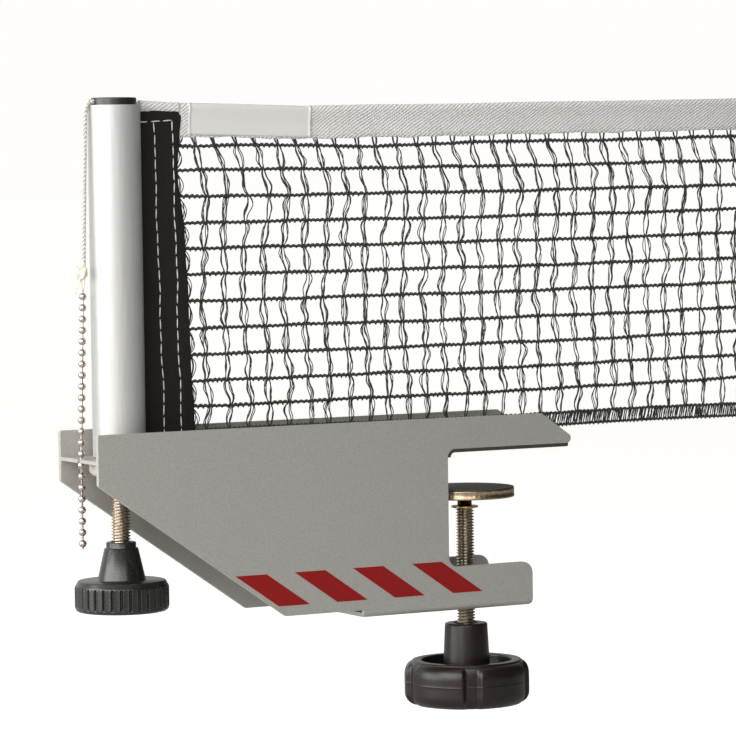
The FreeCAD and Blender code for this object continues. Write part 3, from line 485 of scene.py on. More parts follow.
# ---- Band ----
# A doubled strip of black cotton, sewn round the rod and through the tube's slot.  Its free edge
# is turned in and stands off a little; white lockstitches run down it and along its top.
def weave(material, warp, weft, height, low, high, twill=0.0):
    """Threads that cross at the given pitches in mm, as relief and as two tones that follow it: the low places get
    the dark tone, which is painted shade between the threads; twill slants the warp.
    """
    tree = material.node_tree
    cloth = add_node(tree, "ShaderNodeAttribute", attribute_name="cloth")
    split = add_node(tree, "ShaderNodeSeparateXYZ")
    across, along = [add_node(tree, "ShaderNodeMath", {1: math.tau / pitch}, operation="MULTIPLY_ADD")
                     for pitch in (warp, weft)]
    warp_ribs, weft_ribs = [add_node(tree, "ShaderNodeMath", operation="SINE") for _ in range(2)]
    slant = add_node(tree, "ShaderNodeMath", {1: twill * math.tau / warp}, operation="MULTIPLY")
    crossed = add_node(tree, "ShaderNodeMath", {1: 0.35}, operation="MULTIPLY_ADD")
    uneven = add_node(tree, "ShaderNodeTexNoise", {"Scale": 2.2})
    mixed = add_node(tree, "ShaderNodeMath", {1: 1.6}, operation="MULTIPLY_ADD")
    share = add_node(tree, "ShaderNodeMapRange", {"From Min": -0.8, "From Max": 2.2})
    wire(tree, (cloth, "Vector", split, "Vector"), (split, "X", across, 0), (split, "Y", slant, 0),
         (slant, 0, across, 2), (across, 0, warp_ribs, 0), (split, "Y", along, 0), (along, 0, weft_ribs, 0),
         (weft_ribs, 0, crossed, 0), (warp_ribs, 0, crossed, 2), (cloth, "Vector", uneven, "Vector"),
         (uneven, "Fac", mixed, 0), (crossed, 0, mixed, 2), (mixed, 0, share, "Value"))
    relief(material, mixed, 0, height)
    # The colour follows the relief: the dark tone is painted shade in the low places between the threads and in the
    # cloth's hollows.
    tone_ramp(material, share, "Result", low, high)


def thicken(piece, thickness, offset=0):
    """Gives a cloth its thickness in mm, to both sides, or inwards at an offset of -1."""
    shell = piece.modifiers.new("cloth thickness", "SOLIDIFY")
    shell.thickness = thickness * MM
    shell.offset = offset


def runs_along(line):
    """How far each point of a line lies from its start, measured along it."""
    runs = [0.0]
    for before, after in zip(line, line[1:]):
        runs.append(runs[-1] + math.dist(before, after))
    return runs


black_cotton = new_material("black_cotton", (0.012, 0.010, 0.009), 0.85, specular=0.2, sheen=0.04)
# The weave's dark tone in its low places is painted shade between the threads.
weave(black_cotton, 0.7, 0.7, 0.06, (0.005, 0.0045, 0.004), (0.020, 0.018, 0.016))

band_low = 5.5
band_top = 145.2
band_rows = 80
rod_x = -156.2
hem_radius = 2.1
slot_mouth = -154.2
leaves_slot = -151.5
in_slot = 0.7
flat_run = 8.0
turned_in = 5.4
fold_lift = 0.34


def band_edge(height):
    """Where the band's free edge lies at a height; it draws in under the tape's end."""
    share = (height - band_low) / (band_top - band_low)
    wave = 0.16 * math.sin(height / 9.0) + 0.10 * math.sin(height / 3.7 + 1.0)
    drawn = 1.0 * smooth_step((height - 133) / 12) - 2.1 * math.exp(-((height - 119) / 12) ** 2)
    return -128.9 - 5.3 * share + wave + drawn


def band_front(x, height):
    """Front face of the band: flat along the slot, uneven further out, with the turned edge standing off."""
    out = smooth_step((x - leaves_slot) / flat_run)
    uneven = 0.14 * math.sin(x / 3.1 + height / 11.0) + 0.12 * math.sin(height / 6.3 - x / 5.0)
    fold = fold_lift * smooth_step((x - band_edge(height) + turned_in) / 0.9)
    return -in_slot - out * (0.2 + uneven) - fold


band_points = []
band_cloth = []
for row in range(band_rows + 1):
    height = band_low + (band_top - band_low) * row / band_rows
    edge = band_edge(height)
    section = []
    for step in range(30):
        x = edge - 0.5 + (slot_mouth - edge + 0.5) * step / 29
        section.append((x, band_front(x, height)))
    opening = math.asin(in_slot / hem_radius)
    for step in range(1, 12):
        angle = -opening - (math.tau - 2 * opening) * step / 12
        section.append((rod_x + hem_radius * math.cos(angle), hem_radius * math.sin(angle)))
    for step in range(14):
        x = slot_mouth + (edge - 0.5 - slot_mouth) * step / 13
        section.append((x, in_slot + 0.3 * smooth_step((x - leaves_slot) / flat_run)))
    section += [(edge - 0.08, 0.45), (edge, -0.1), (edge - 0.06, -0.7)]
    band_points += [(x, y, height) for x, y in section]
    band_cloth += [(run, height) for run in runs_along(section)]
band_faces = ring_faces(band_rows + 1, len(band_points) // (band_rows + 1), ends=False)
band = add_mesh("net_band_cloth", band_points, band_faces, black_cotton, "post", cloth=band_cloth)
thicken(band, 0.5, offset=-1)
stand_for(band, "net_band")


# ---- Stitches ----
# White thread in dashes of 4.3 mm, one every 5 mm, that lie in the cloth and lean a little
# from stitch to stitch.
def start_tree(name, sockets, output):
    """A node tree with inputs given as name, kind and number; gives it, its input node and the inputs' keys."""
    tree = bpy.data.node_groups.new(name, "GeometryNodeTree")
    keys = {}
    for label, kind, number in sockets:
        socket = tree.interface.new_socket(name=label, in_out="INPUT", socket_type="NodeSocket" + kind)
        if number is not None:
            socket.default_value = number
        keys[label] = socket.identifier
    tree.interface.new_socket(name=output, in_out="OUTPUT", socket_type="NodeSocketGeometry")
    return tree, add_node(tree, "NodeGroupInput"), keys


def end_tree(tree, group_in, last, output):
    """Turns the last node's instances into a mesh, gives it the material and passes it out."""
    realize = add_node(tree, "GeometryNodeRealizeInstances")
    coat = add_node(tree, "GeometryNodeSetMaterial")
    group_out = add_node(tree, "NodeGroupOutput")
    wire(tree, (last, 0, realize, "Geometry"), (realize, "Geometry", coat, "Geometry"),
         (group_in, "Material", coat, "Material"), (coat, "Geometry", group_out, output))


def grown(name, mesh, tree, keys, values, body):
    """What a node tree makes of a mesh, as a piece with a plain mesh."""
    piece = bpy.data.objects.new(name, mesh)
    bpy.context.scene.collection.objects.link(piece)
    growth = piece.modifiers.new(tree.name, "NODES")
    growth.node_group = tree
    for label, number in values.items():
        growth[keys[label]] = number
    graph = bpy.context.evaluated_depsgraph_get()
    made = bpy.data.meshes.new_from_object(piece.evaluated_get(graph), depsgraph=graph)
    piece.modifiers.clear()
    piece.data = made
    for polygon in made.polygons:
        polygon.use_smooth = True
    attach(piece, body)
    return piece


stitch_tree, group_in, stitch_keys = start_tree("stitch_row", (
    ("Seam", "Geometry", None), ("Pitch", "Float", 0.005), ("Length", "Float", 0.0043), ("Thread", "Float", 0.00025),
    ("Lean", "Float", 0.06), ("Seed", "Int", 3), ("Material", "Material", None)), "Stitches")
to_curve = add_node(stitch_tree, "GeometryNodeMeshToCurve")
even = add_node(stitch_tree, "GeometryNodeResampleCurve", mode="LENGTH")
to_points = add_node(stitch_tree, "GeometryNodeCurveToPoints", mode="EVALUATED")
dash = add_node(stitch_tree, "GeometryNodeMeshUVSphere", {"Segments": 8, "Rings": 8, "Radius": 1.0})
dash_size = add_node(stitch_tree, "ShaderNodeCombineXYZ")
half = add_node(stitch_tree, "ShaderNodeMath", {1: 0.5}, operation="MULTIPLY")
shaped = add_node(stitch_tree, "GeometryNodeTransform")
stitched = add_node(stitch_tree, "GeometryNodeInstanceOnPoints")
wobble = add_node(stitch_tree, "FunctionNodeRandomValue", data_type="FLOAT_VECTOR")
most = add_node(stitch_tree, "ShaderNodeVectorMath", {0: (1, 1, 0)}, operation="SCALE")
least = add_node(stitch_tree, "ShaderNodeVectorMath", {"Scale": -1}, operation="SCALE")
leaning = add_node(stitch_tree, "GeometryNodeRotateInstances")
wire(stitch_tree, (group_in, "Seam", to_curve, "Mesh"), (to_curve, "Curve", even, "Curve"),
     (group_in, "Pitch", even, "Length"), (even, "Curve", to_points, "Curve"),
     (group_in, "Thread", dash_size, "X"), (group_in, "Thread", dash_size, "Y"),
     (group_in, "Length", half, 0), (half, 0, dash_size, "Z"),
     (dash, "Mesh", shaped, "Geometry"), (dash_size, "Vector", shaped, "Scale"),
     (to_points, "Points", stitched, "Points"), (to_points, "Rotation", stitched, "Rotation"),
     (shaped, "Geometry", stitched, "Instance"), (group_in, "Lean", most, "Scale"),
     (most, "Vector", wobble, "Max"), (most, "Vector", least, 0), (least, "Vector", wobble, "Min"),
     (group_in, "Seed", wobble, "Seed"), (stitched, "Instances", leaning, "Instances"),
     (wobble, "Value", leaning, "Rotation"))
end_tree(stitch_tree, group_in, leaning, "Stitches")

white_thread = new_material("white_thread", (0.72, 0.70, 0.66), 0.7, sheen=0.2)
speckle(white_thread, (0.60, 0.58, 0.54), (0.80, 0.78, 0.74), 0.5)


def sew(name, seams, **sizes):
    """Rows of white stitches along seams of points in mm, on the net."""
    points = []
    edges = []
    for seam in seams:
        first = len(points)
        edges += [(first + n, first + n + 1) for n in range(len(seam) - 1)]
        points += [[number * MM for number in point] for point in seam]
    mesh = bpy.data.meshes.new(name)
    mesh.from_pydata(points, edges, [])
    piece = grown(name, mesh, stitch_tree, stitch_keys, {"Material": white_thread, **sizes}, "post")
    return piece


def seam_down(top_x, top_z, low_x, low_z):
    """A seam down the band's front, a little wavy."""
    seam = []
    for step in range(61):
        share = step / 60
        x = top_x + (low_x - top_x) * share + 0.22 * math.sin(share * 17) + 0.12 * math.sin(share * 41)
        height = top_z + (low_z - top_z) * share
        seam.append((x, band_front(x, height) - 0.08, height))
    return seam


top_seam = [(x, band_front(x, 141.0) - 0.08, 140.6 + 0.05 * (x + 152))
            for x in (-150.6, -148.5, -145.0, -141.0, -139.6)]
front_seams = [seam_down(-145.9, 138.4, -143.2, 7.5), seam_down(-137.7, 139.0, -135.5, 7.5), top_seam]
back_seams = [[(x, 1.08, z) for x, y, z in seam] for seam in front_seams]
band_stitches = sew("band_stitches", front_seams + back_seams)


# ---- Net ----
# Knotless dark green netting: eleven row cords, each a core with a ply wound round it, and between
# them bundles of thin threads that part and close at each row.  Two such cords with slanting
# threads between them are its hem.
net_end = 155.4
under_band = 1.2
band_side = -131.0
hem_height = 10.0
row_left = (130.8, 120.7, 109.9, 99.1, 88.5, 77.7, 66.8, 55.6, 44.6, 33.7, 23.3)
row_right = (132.9, 122.3, 111.5, 100.6, 89.9, 78.8, 67.9, 56.5, 45.8, 35.3, 25.1)
hem_top = 13.3
hem_depth = 5.3
column_starts = (-126.8, -123.8, -121.8, -122.7, -124.0, -123.0, -124.4, -123.8, -123.3, -122.9, -121.9, -122.5)
column_pitch = 9.5
column_count = 30
column_wander = 0.75
end_margin = 0.7
first_thread_top = 139.0
into_tape = 9.0
thread_radius = 0.23
top_thread_radius = 0.24
edge_thread_radius = 0.215
hem_thread_radius = 0.28
chance = random.Random(11)


def net_row(index, x):
    """Height of a row cord at a place along the net; row 11 and 12 are the hem's two cords."""
    if index >= 11:
        return hem_top - hem_depth * (index - 11) + 0.35 * math.sin(x / 31.0 + 11)
    share = (x + 125.0) / 267.0
    sag = 0.55 * math.sin(math.pi * min(max(share, 0.0), 1.0) ** 1.3)
    if index == 0:
        sag += 1.1 * math.exp(-((x + 48.0) / 34.0) ** 2)
    sway = 0.14 * math.sin(x / 17.0 + index * 1.7) + 0.10 * math.sin(x / 6.1 + index * 2.9)
    return row_left[index] + (row_right[index] - row_left[index]) * share - sag + sway


tape_line = (
    (-152.2, 147.7), (-148.0, 147.3), (-140.0, 146.85), (-131.5, 146.5), (-112.0, 146.1), (-92.0, 145.55),
    (-77.0, 145.1), (-60.0, 145.45), (-40.0, 145.75), (-29.0, 145.7), (0.0, 145.95), (20.0, 146.4), (45.0, 146.75),
    (72.0, 146.95), (100.0, 147.35), (130.0, 147.75), (156.0, 148.25),
)


def tape_centre(x):
    """Height of the tension cord's axis inside the tape."""
    for (x_low, z_low), (x_high, z_high) in zip(tape_line, tape_line[1:]):
        if x <= x_high:
            return z_low + (z_high - z_low) * (x - x_low) / (x_high - x_low)
    return tape_line[-1][1]


class Yarn:
    """Collects thin threads as tubes with few sides, in mm."""

    def __init__(self):
        self.points = []
        self.faces = []

    def add(self, path, radius, sides=4):
        """A tube round a path of points, closed at both ends."""
        first = len(self.points)
        for index, point in enumerate(path):
            here = Vector(point)
            before = Vector(path[max(index - 1, 0)])
            after = Vector(path[min(index + 1, len(path) - 1)])
            ahead = (after - before).normalized()
            side = ahead.cross(Vector((0, 1, 0)))
            if side.length < 0.2:
                side = ahead.cross(Vector((1, 0, 0)))
            side.normalize()
            over = side.cross(ahead)
            for n in range(sides):
                angle = math.tau * n / sides
                self.points.append(tuple(here + (side * math.cos(angle) + over * math.sin(angle)) * radius))
        self.faces += [[first + index for index in face] for face in ring_faces(len(path), sides)]


def wound(yarn, left, index, pitch, core=0.50, ply=0.42, reach=0.66):
    """A row's straight core with a thinner ply wound round it, from its left end to the net's end."""
    def on_row(x, up=0.0, out=0.0):
        return x, out, net_row(index, x) + up

    steps = int((net_end - left) / 2.4)
    yarn.add([on_row(left + (net_end - left) * n / steps) for n in range(steps + 1)], core, 6)
    steps = int((net_end - left) / 0.32)
    path = []
    for n in range(steps + 1):
        x = left + (net_end - left) * n / steps
        angle = math.tau * x / pitch + 0.9 * math.sin(x / 4.3 + index) + 0.5 * math.sin(x / 1.9 + 2 * index)
        away = reach * (1 + 0.22 * math.sin(x / 3.1 + 3 * index))
        path.append(on_row(x, away * math.sin(angle), away * math.cos(angle)))
    yarn.add(path, ply, 5)


def crossing(index, column):
    """Where a column of threads meets a row."""
    spot = random.Random(index * 97 + column * 13)
    x = column_starts[index] + column_pitch * column + spot.uniform(-column_wander, column_wander)
    return min(x, net_end - end_margin)


def bulge_at(share, peak):
    """0 at both ends of a thread and 1 where it stands out most."""
    return math.sin(math.pi * share ** (math.log(0.5) / math.log(peak)))


rows = Yarn()
for index in range(11):
    wound(rows, band_edge(net_row(index, band_side)) - under_band, index, 2.35)

threads = Yarn()
for column in range(column_count):
    for index in range(1, 12):
        x_low = crossing(index, column)
        z_low = net_row(index, x_low)
        x_high = crossing(index - 1, column)
        z_high = net_row(index - 1, x_high)
        sway = chance.uniform(-0.9, 0.9)
        turn_back = chance.uniform(-0.7, 0.7)
        wide = chance.uniform(-0.15, 0.7)
        for side in (-1, 1):
            for twin in chance.choice(((0, 1), (0, 1, 2), (0, 1, 2))):
                ripple = chance.uniform(0, math.tau)
                loop = chance.uniform(-0.2, 0.8) * min(twin, 1)
                peak = chance.uniform(0.3, 0.66)
                depth = chance.uniform(-0.3, 0.3)
                path = []
                for step in range(9):
                    share = step / 8
                    bulge = bulge_at(share, peak)
                    x = x_high + (x_low - x_high) * share + bulge * sway + turn_back * math.sin(math.tau * share)
                    x += side * (0.42 + 0.15 * twin + (wide + loop) * bulge)
                    x += 0.22 * bulge * math.sin(9 * share + ripple)
                    path.append((x, depth * bulge + side * 0.3 * (1 - bulge), z_high + (z_low - z_high) * share))
                threads.add(path, thread_radius)
    x_row = crossing(0, column)
    z_row = net_row(0, x_row)
    top = tape_centre(x_row) - into_tape
    leaning = min(1.0, max(0.1, (-x_row - 20) / 60))
    for strand in (-1.5, -0.5, 0.5, 1.5):
        lean = -2.4 * leaning + 0.95 * strand * leaning + chance.uniform(-0.25, 0.25)
        open_loop = (1 - leaning) * (math.copysign(0.8, strand) + 0.2 * strand)
        path = []
        for step in range(5):
            share = step / 4
            x = x_row + lean * share + 0.28 * strand * (1 - share) + open_loop * math.sin(math.pi * share)
            path.append((x, chance.uniform(-0.15, 0.15), z_row + (top - z_row) * share))
        threads.add(path, top_thread_radius)
for index in range(12):
    z_high = first_thread_top if index == 0 else net_row(index - 1, band_side)
    z_low = net_row(index, band_side)
    for strand in range(3):
        out = chance.uniform(0.4, 1.2) + 0.7 * strand
        peak = chance.uniform(0.35, 0.65)
        path = []
        for step in range(9):
            z = z_high + (z_low - z_high) * step / 8
            path.append((band_edge(z) - 0.7 + (out + 0.8) * bulge_at(step / 8, peak), 0.2 * (strand - 1), z))
        threads.add(path, edge_thread_radius)

net_yarn = new_material("dark_green_yarn", (0.018, 0.022, 0.016), 0.8, sheen=0.05)
speckle(net_yarn, (0.010, 0.013, 0.009), (0.042, 0.050, 0.037), 1.1)
netting = add_mesh("net_threads", threads.points, threads.faces, net_yarn, "post")
net_cords = add_mesh("net_row_cords", rows.points, rows.faces, net_yarn, "post")

hem = Yarn()
for index in (11, 12):
    wound(hem, band_edge(hem_height) - under_band, index, 2.1, 0.44, 0.36, 0.58)
x = band_edge(hem_height) + 0.6
while x < net_end - 2.4:
    high = net_row(11, x)
    low = net_row(12, x)
    for lean, side in ((-1.5, -0.35), (-1.0, 0.35)):
        start = x + under_band + chance.uniform(-0.25, 0.25)
        middle = start + lean * 0.5 + chance.uniform(-0.45, 0.35)
        path = [(start, side, high), (middle, side, (high + low) / 2), (start + lean, side, low)]
        hem.add(path, hem_thread_radius)
    x += chance.uniform(0.95, 1.3)
net_hem = add_mesh("net_hem", hem.points, hem.faces, net_yarn, "post")
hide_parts("net_mesh")


# ---- Tape ----
# White cotton tape in twill weave, folded over the tension cord and sewn to the net's top.  Beside
# the post only its narrow collar stays round the cord.
white_twill = new_material("white_twill", (0.70, 0.69, 0.67), 0.8, sheen=0.25)
# The twill's dark tone in its low places is painted shade between the threads.
weave(white_twill, 2.2, 0.62, 0.12, (0.55, 0.54, 0.525), (0.94, 0.93, 0.91), twill=1.5)


def sheet_faces(rows, columns):
    """Faces between rows of open lines with the given number of points."""
    return [[row * columns + n, row * columns + n + 1, (row + 1) * columns + n + 1, (row + 1) * columns + n]
            for row in range(rows - 1) for n in range(columns - 1)]


collar_end = -134.9
collar_foot = 145.05
collar_least = 2.2
tape_depth = 11.9
tape_gap = 0.62
fold_foot = 1.55
fold_start, fold_turn = -38, 128
fold_radius = 1.78
fold_top = 1.8
seam_drop = 10.4
seam_side = 0.98
tape_points = []
tape_cloth = []
tape_places = [-152.1 + 0.62 * n for n in range(28)]
tape_places += [-134.9, -134.6, -134.3, -134.0, -133.7, -133.0, -132.0]
tape_places += [-131.0 + 1.6 * n for n in range(180) if -131.0 + 1.6 * n < net_end + 0.2] + [net_end + 0.4]
for x in sorted(tape_places):
    centre = tape_centre(x)
    wide = smooth_step((x - collar_end) / 0.9)
    collar = max(collar_least, centre - collar_foot)
    depth = collar + wide * (tape_depth - collar + 0.22 * math.sin(x / 5.3) + 0.16 * math.sin(x / 2.1 + 1))
    halves = []
    for side in (1, -1):
        half = []
        for step in range(9):
            share = step / 8
            lower = depth * (1 - share) + fold_foot * share
            spread = tape_gap + 0.2 * math.sin(x / 6.0 + side) * (1 - share) * wide
            half.append((side * (spread + 0.75 * smooth_step(share * 3 - 2)), centre - lower))
        for step in range(1, 8):
            angle = math.radians(fold_start + fold_turn * step / 8)
            half.append((side * fold_radius * math.cos(angle), centre + fold_radius * math.sin(angle)))
        halves.append(half)
    outline = halves[0] + [(0.0, centre + fold_top)] + halves[1][::-1]
    tape_points += [(x, y, z) for y, z in outline]
    tape_cloth += [(x, run) for run in runs_along(outline)]
tape_faces = sheet_faces(len(tape_places), len(tape_points) // len(tape_places))
tape = add_mesh("net_tape_cloth", tape_points, tape_faces, white_twill, "post", cloth=tape_cloth)
thicken(tape, 0.42)
stand_for(tape, "net_tape")

seam_places = [-132.5 + 4 * n for n in range(72)]
tape_seams = [[(x, side * seam_side, tape_centre(x) - seam_drop) for x in seam_places] for side in (-1, 1)]
tape_stitches = sew("tape_stitches", tape_seams, Seed=8, Length=0.0022, Pitch=0.0032, Thread=0.00016)


# ---- Label ----
# A bare strip of coated white cloth, bowed round the tape's fold, that is sewn on the tape's
# front with its two ends turned under.
label_left = -130.2
label_right = -73.3
label_fold = 1.99
label_face = 0.98
label_width = 14
label_columns = 15
bent_share = 0.3
bend_start, bend_turn = 58, 96
bend_foot = 1.23
face_height = 9.9
label_points = []
label_cloth = []
label_places = [label_left, label_left + 0.15, label_left + 0.55, label_left + 0.9]
label_places += [label_left + 1.6 + (label_right - label_left - 3.2) * n / 24 for n in range(25)]
label_places += [label_right - 0.9, label_right - 0.55, label_right - 0.15, label_right]
for x in label_places:
    centre = tape_centre(x)
    end = min(x - label_left, label_right - x)
    lift = 0.12 + 0.26 * (1 - smooth_step((end - 0.5) / 0.4)) - 0.2 * (1 - smooth_step(end / 0.15))
    bow = 0.10 * math.sin((x - label_left) / 7.0)
    for step in range(label_columns):
        share = step / (label_columns - 1)
        if share < bent_share:
            angle = math.radians(bend_start - bend_turn * share / bent_share)
            y = -(label_fold + lift) * math.cos(angle)
            z = centre + (label_fold + lift) * math.sin(angle)
        else:
            down = (share - bent_share) / (1 - bent_share)
            y = -(label_face + lift + 0.59 * (1 - smooth_step(down * 2.2)) + bow * math.sin(math.pi * down))
            z = centre - bend_foot - face_height * down
        label_points.append((x, y, z))
        label_cloth.append((x, label_width * share))
label_cover = new_material("coated_white_cloth", (0.78, 0.76, 0.74), 0.5)
# The weave's darker tone in its low places is painted shade between the threads.
weave(label_cover, 0.4, 0.4, 0.012, (0.70, 0.68, 0.66), (0.78, 0.765, 0.745))
label_faces = sheet_faces(len(label_places), label_columns)
label = add_mesh("net_label_cloth", label_points, label_faces, label_cover, "post", cloth=label_cloth)
thicken(label, 0.22)
stand_for(label, "net_label")


# ---- Tension cord ----
# White three-strand cord of 2.4 mm.  It runs inside the tape and through the cap, bends over the
# tube's rim in the cap's notch and is pulled down to a knot, where the bead chain is hooked on.
cord_width = 2.4
strand_away = 0.26 * cord_width
strand_radius = 0.235 * cord_width
cord_yarn = new_material("white_cord_yarn", (0.66, 0.645, 0.61), 0.8, sheen=0.2)
speckle(cord_yarn, (0.40, 0.38, 0.35), (0.74, 0.725, 0.69), 0.6)


def smooth_line(name, controls):
    """Points in mm along a smooth curve with these control points in metres."""
    curve = bpy.data.curves.new(name, "CURVE")
    curve.dimensions = "3D"
    curve.resolution_u = 24
    spline = curve.splines.new("NURBS")
    spline.points.add(len(controls) - 1)
    for point, place in zip(spline.points, controls):
        point.co = (*place, 1)
    spline.order_u = 3
    spline.use_endpoint_u = True
    guide = bpy.data.objects.new(name, curve)
    bpy.context.scene.collection.objects.link(guide)
    graph = bpy.context.evaluated_depsgraph_get()
    line = bpy.data.meshes.new_from_object(guide.evaluated_get(graph))
    points = [tuple(vertex.co) for vertex in line.vertices]
    bpy.data.objects.remove(guide)
    return points


def spaced(points, step):
    """The same line with its points at equal distances."""
    line = [Vector(point) for point in points]
    runs = runs_along(line)
    count = max(2, round(runs[-1] / step))
    made = []
    index = 0
    for n in range(count + 1):
        wanted = runs[-1] * n / count
        while index < len(runs) - 2 and runs[index + 1] < wanted:
            index += 1
        share = (wanted - runs[index]) / max(runs[index + 1] - runs[index], 1e-12)
        made.append(line[index].lerp(line[index + 1], min(max(share, 0.0), 1.0)))
    return made


def laid_rope(name, line, body, lay=5.2, sides=8):
    """Three strands laid round a line of points in metres, one turn in each lay, as one mesh."""
    yarn = Yarn()
    spacing = 0.45
    path = [point / MM for point in spaced(line, spacing * MM)]
    strands = ([], [], [])
    side = Vector((0, 1, 0))
    for index, here in enumerate(path):
        ahead = (path[min(index + 1, len(path) - 1)] - path[max(index - 1, 0)]).normalized()
        side = (side - ahead * side.dot(ahead)).normalized()
        over = ahead.cross(side)
        for number, strand in enumerate(strands):
            angle = math.tau * (index * spacing / lay + number / 3)
            strand.append(here + (side * math.cos(angle) + over * math.sin(angle)) * strand_away)
    for strand in strands:
        yarn.add(strand, strand_radius, sides)
    return add_mesh(name, yarn.points, yarn.faces, cord_yarn, body)


free_route = [(-0.17395, 0, 0.14885), (-0.17638, 0, 0.14885), (-0.17680, 0, 0.13400), (-0.17827, 0, 0.08370)]
free_line = smooth_line("free_cord_line", free_route)
free_cord = laid_rope("free_cord", free_line, None)
stand_for(free_cord, "tension_cord")

tape_route = [free_route[0], (-0.1610, 0, 0.1486)] + [(x / 1000, 0, z / 1000) for x, z in tape_line]
inner_cord = laid_rope("cord_in_tape", smooth_line("tape_cord_line", tape_route), "post", sides=6)
stand_for(inner_cord, "tape_cord")


# ---- Knot ----
# The cord's end is tied in a hard overhand knot; a thin loop of two strands goes on to the chain's
# first ball, and a few loose fibres and one tail stand out.
chain_foot = Vector((-180.6, 0, 4.0))
chain_lean = (Vector((-176.45, 0, 146.45)) - chain_foot).normalized()


def on_chain_line(height):
    """A point on the line in which the cord and the chain pull."""
    return chain_foot + chain_lean * ((height - chain_foot.z) / chain_lean.z)


knot_strand = 0.52
knot_lay = 0.36
fray_count = 16
fray_radius = 0.07
knot = Yarn()
knot_middle = on_chain_line(80.1)
turns = []
for step in range(73):
    angle = math.tau * step / 72
    turns.append((
        knot_middle.x + 0.62 * (math.sin(angle) + 2 * math.sin(2 * angle)) * 0.78,
        0.52 * (math.cos(angle) - 2 * math.cos(2 * angle)) * 0.9,
        knot_middle.z - 1.9 * math.sin(3 * angle + 0.4) + 0.5 * math.cos(angle),
    ))
for number in range(3):
    strand = []
    for index, (x, y, z) in enumerate(turns):
        angle = math.tau * (index / 9 + number / 3)
        strand.append((x + knot_lay * math.cos(angle), y + knot_lay * math.sin(angle), z + 0.2 * math.sin(angle)))
    knot.add(strand, knot_strand, 7)
knot.add([on_chain_line(z) for z in (77.4, 79.0, 81.5, 84.2)], 1.15, 10)
for side in (-1, 1):
    loop = []
    for z, away in ((77.6, 0.5), (76.0, 0.75), (74.2, 0.7), (72.7, 0.42), (71.75, 0.1)):
        loop.append((on_chain_line(z).x + side * away, side * 0.25, z))
    knot.add(loop, 0.32, 6)
tail = ((1.2, -0.4, 77.4), (2.2, -0.7, 75.2), (3.4, -0.8, 73.0), (4.0, -0.8, 71.2))
knot.add([(knot_middle.x - away, y, z) for away, y, z in tail], 0.27, 6)
fray = random.Random(5)
for number in range(fray_count):
    begin = knot_middle + Vector((-1.6, fray.uniform(-1.2, 0.6), fray.uniform(-2.4, 2.4)))
    lead = Vector((-1.0, fray.uniform(-0.5, 0.3), fray.uniform(-0.7, 0.7))) * fray.uniform(1.0, 2.3)
    knot.add([begin, begin + lead * 0.5 + Vector((0, 0, 0.15)), begin + lead], fray_radius, 3)
knot_yarn = new_material("knot_yarn", (0.70, 0.62, 0.46), 0.8, sheen=0.2)
speckle(knot_yarn, (0.58, 0.50, 0.35), (0.84, 0.78, 0.64), 0.6)
knot_piece = add_mesh("cord_knot_tied", knot.points, knot.faces, knot_yarn, "bracket")
stand_for(knot_piece, "cord_knot")

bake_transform(free_cord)


# ---- Bead chain ----
# Nickel-plated balls of 3.1 mm every 4.57 mm, with thin link wires between them.  The upper part is
# pulled tight into the seat plate's slot; eight balls hang free under it.
ball_pitch = 4.57
chain_tree, group_in, chain_keys = start_tree("bead_chain", (
    ("Count", "Int", 8), ("First", "Vector", (0, 0, 0)), ("Step", "Vector", (0, 0, ball_pitch * MM)),
    ("Ball", "Float", 0.00155), ("Wire", "Float", 0.0004), ("Before", "Float", 0.0), ("After", "Float", 0.0),
    ("Material", "Material", None)), "Chain")
places = add_node(chain_tree, "GeometryNodeMeshLine", mode="OFFSET")
ball = add_node(chain_tree, "GeometryNodeMeshUVSphere", {"Segments": 28, "Rings": 18})
balls = add_node(chain_tree, "GeometryNodeInstanceOnPoints")
before_first = add_node(chain_tree, "ShaderNodeMath", {1: -1}, operation="MULTIPLY")
last_ball = add_node(chain_tree, "ShaderNodeMath", {1: 1}, operation="SUBTRACT")
past_last = add_node(chain_tree, "ShaderNodeMath", operation="ADD")
link = add_node(chain_tree, "GeometryNodeCurvePrimitiveLine")
link_round = add_node(chain_tree, "GeometryNodeCurvePrimitiveCircle", {"Resolution": 10})
link_wire = add_node(chain_tree, "GeometryNodeCurveToMesh", {"Fill Caps": True})
whole = add_node(chain_tree, "GeometryNodeJoinGeometry")
wire(chain_tree, (group_in, "Count", places, "Count"), (group_in, "First", places, "Start Location"),
     (group_in, "Step", places, "Offset"), (group_in, "Ball", ball, "Radius"),
     (places, "Mesh", balls, "Points"), (ball, "Mesh", balls, "Instance"),
     (group_in, "Before", before_first, 0), (group_in, "Count", last_ball, 0),
     (last_ball, 0, past_last, 0), (group_in, "After", past_last, 1),
     (link, "Curve", link_wire, "Curve"), (group_in, "Wire", link_round, "Radius"),
     (link_round, "Curve", link_wire, "Profile Curve"), (balls, "Instances", whole, "Geometry"),
     (link_wire, "Mesh", whole, "Geometry"))
for steps, socket in ((before_first, "Start"), (past_last, "End")):
    end = add_node(chain_tree, "ShaderNodeVectorMath", operation="MULTIPLY_ADD")
    wire(chain_tree, (group_in, "Step", end, 0), (steps, 0, end, 1), (group_in, "First", end, 2),
         (end, "Vector", link, socket))
end_tree(chain_tree, group_in, whole, "Chain")

nickel = new_material("nickel_plate", (0.50, 0.44, 0.40), 0.16, 1.0)
speckle(nickel, (0.42, 0.36, 0.32), (0.56, 0.50, 0.46), 1.0)


def ball_chain(name, first, step, body, node, **values):
    """A run of balls from the first one, both places in mm, that stands for its node."""
    values |= {"First": [number * MM for number in first], "Step": [number * MM for number in step],
               "Material": nickel}
    chain = grown(name, bpy.data.meshes.new(name), chain_tree, chain_keys, values, body)
    stand_for(chain, node)


